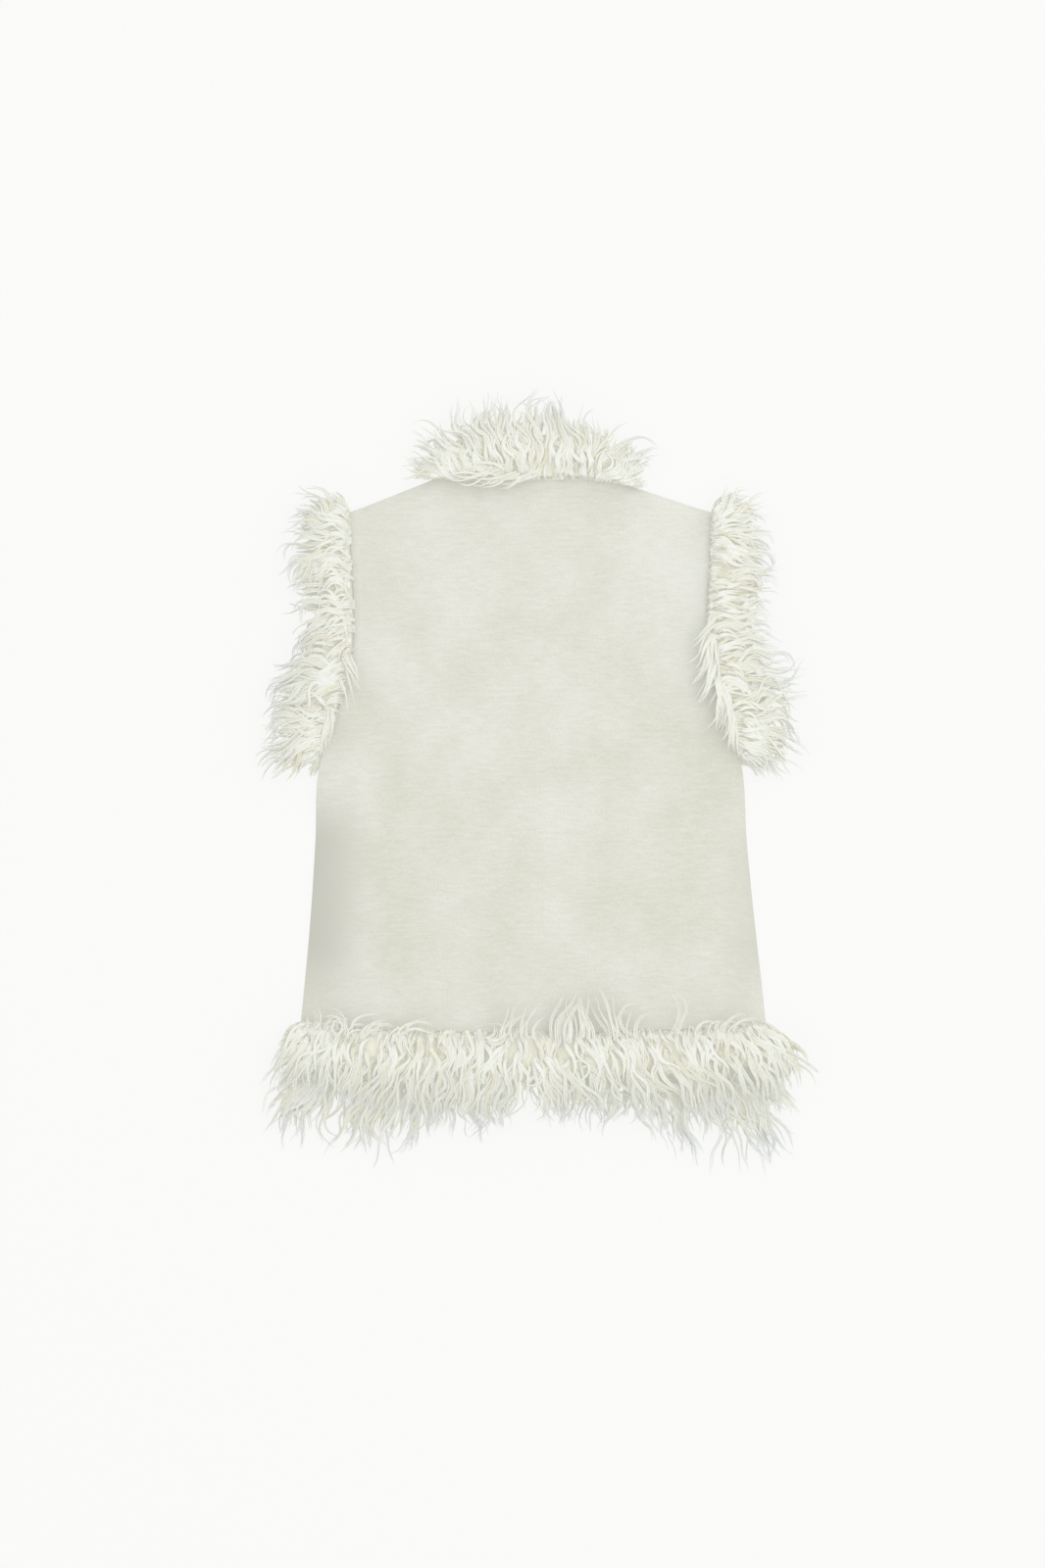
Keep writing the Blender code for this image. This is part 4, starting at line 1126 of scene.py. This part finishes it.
def add_locks(number, node):
    """All the locks of one trim as one mesh: rows and tufts, their paths, hairs and tubes."""
    rng = np.random.default_rng(FIRST_SEED + number)
    rows = LOFTY_ROWS if TRIMS[node][0].pile is LOFTY else PRESSED_ROWS
    groups = [combed_row(node, row, rng) for row in rows]
    groups += [laid_tuft(node, tuft, rng) for tuft in TUFTS.get(node, ())]
    locks = Locks(*(np.concatenate(values) for values in zip(*groups)))
    paths, facing, past = lock_paths(node, locks)
    hairs = wound_hairs(paths, rng)
    radius = HAIR_RADIUS * rng.uniform(*THICKNESSES, len(hairs)) * np.repeat(locks.thick, HAIRS)
    points, faces, uv, normals = hair_tubes(hairs, np.repeat(facing, HAIRS, axis=0), radius)
    # Each lock's painted shade and colour, and how far past the pile each point is, for the painted grey of
    # its tips
    tone = np.repeat(locks.tone[:, None], RINGS, axis=1)
    marks = {"tone": on_tubes(tone), "past": on_tubes(past)}
    piece = add_piece(f"{node}_locks", node, points, faces, FUR, uv, marks, normals)
    print(piece.name, len(locks.run), "locks", 2 * len(faces[0]) + len(faces[1]), "triangles")
    return piece


coats = {node: add_locks(number, node) for number, node in enumerate(TRIMS)}

for node, (strip, flat) in strips.items():
    front_name = node.replace("_back", "_front")
    beneath = [name for name in TRIMS if "_front" in name and name.startswith(front_name)]
print("declared", len(strips), "backing strips")

# %% [markdown]
# ## Floor, light and camera
# The vest was photographed from straight above on a pale surface in soft light that comes a little from
# the upper right. A lit surface would grey towards its edges, so this one is nearly all glow. A wide lamp
# at the upper right models the folds and the fur, and a pale world fills the shadows. The camera hangs
# straight above, as high as a long lens needs to take in the photo's whole frame.

# %% Floor
FLOOR_HALF, FLOOR_BELOW, FLOOR_COLOUR = 6.0, 0.0004, (0.06, 0.06, 0.06, 1)
FLOOR_GLOW = (1, 1, 0.985, 1)
floor_mesh = bpy.data.meshes.new("floor")
square = np.array([(-1, -1, 0), (1, -1, 0), (1, 1, 0), (-1, 1, 0)]) * FLOOR_HALF
floor_mesh.from_pydata((square - (0, 0, FLOOR_BELOW)).tolist(), [], [(0, 1, 2, 3)])
paper, paper_shader, _ = new_finish(
    "floor_paper", roughness=0.9, sheen=0.0, glow=FLOOR_GLOW, glow_strength=0.87)
paper_shader.inputs["Base Color"].default_value = FLOOR_COLOUR
floor_mesh.materials.append(paper)
floor = add_object("floor", floor_mesh)
print("floor", 2 * FLOOR_HALF, "m square")

# %% Light
# A lamp shines along its own -Z, so that is turned towards the origin
LAMP_PLACE, LAMP_SIZE, LAMP_POWER, WORLD_STRENGTH = Vector((2.0, 1.2, 3.0)), 3.8, 52, 1.12
lamp_data = bpy.data.lights.new("window", "AREA")
lamp_data.size, lamp_data.energy = LAMP_SIZE, LAMP_POWER
lamp = add_object("window", lamp_data)
lamp.location, lamp.rotation_euler = LAMP_PLACE, (-LAMP_PLACE).to_track_quat("-Z", "Y").to_euler()
world = bpy.data.worlds.new("pale room")
bpy.context.scene.world = world
world.use_nodes = True
world.node_tree.nodes["Background"].inputs["Color"].default_value = (1, 1, 1, 1)
world.node_tree.nodes["Background"].inputs["Strength"].default_value = WORLD_STRENGTH
bpy.context.scene.view_settings.view_transform = "Standard"
print("lamp", lamp.name, LAMP_POWER, "W, world", WORLD_STRENGTH)

# %% Camera
MM_PER_PIXEL, FRAME_MIDDLE_PX, NECK_PX, FRAME_HEIGHT_PX = 1.06, (533, 800), (541, 487), 1600
offset_px = np.array([FRAME_MIDDLE_PX[0] - NECK_PX[0], NECK_PX[1] - FRAME_MIDDLE_PX[1]])
aim_x, aim_y = offset_px * MM_PER_PIXEL / 1000 + PLACE[:2]
LENS, SENSOR = 85.0, 36.0
height_above = FRAME_HEIGHT_PX * MM_PER_PIXEL / 1000 * LENS / SENSOR
camera_data = bpy.data.cameras.new("camera")
camera_data.lens, camera_data.sensor_width = LENS, SENSOR
camera = add_object("camera", camera_data)
camera.location = (aim_x, aim_y, height_above + BACK_TOP)
bpy.context.scene.camera = camera
print("camera", round(height_above, 3), "m above", np.round((aim_x, aim_y), 4))
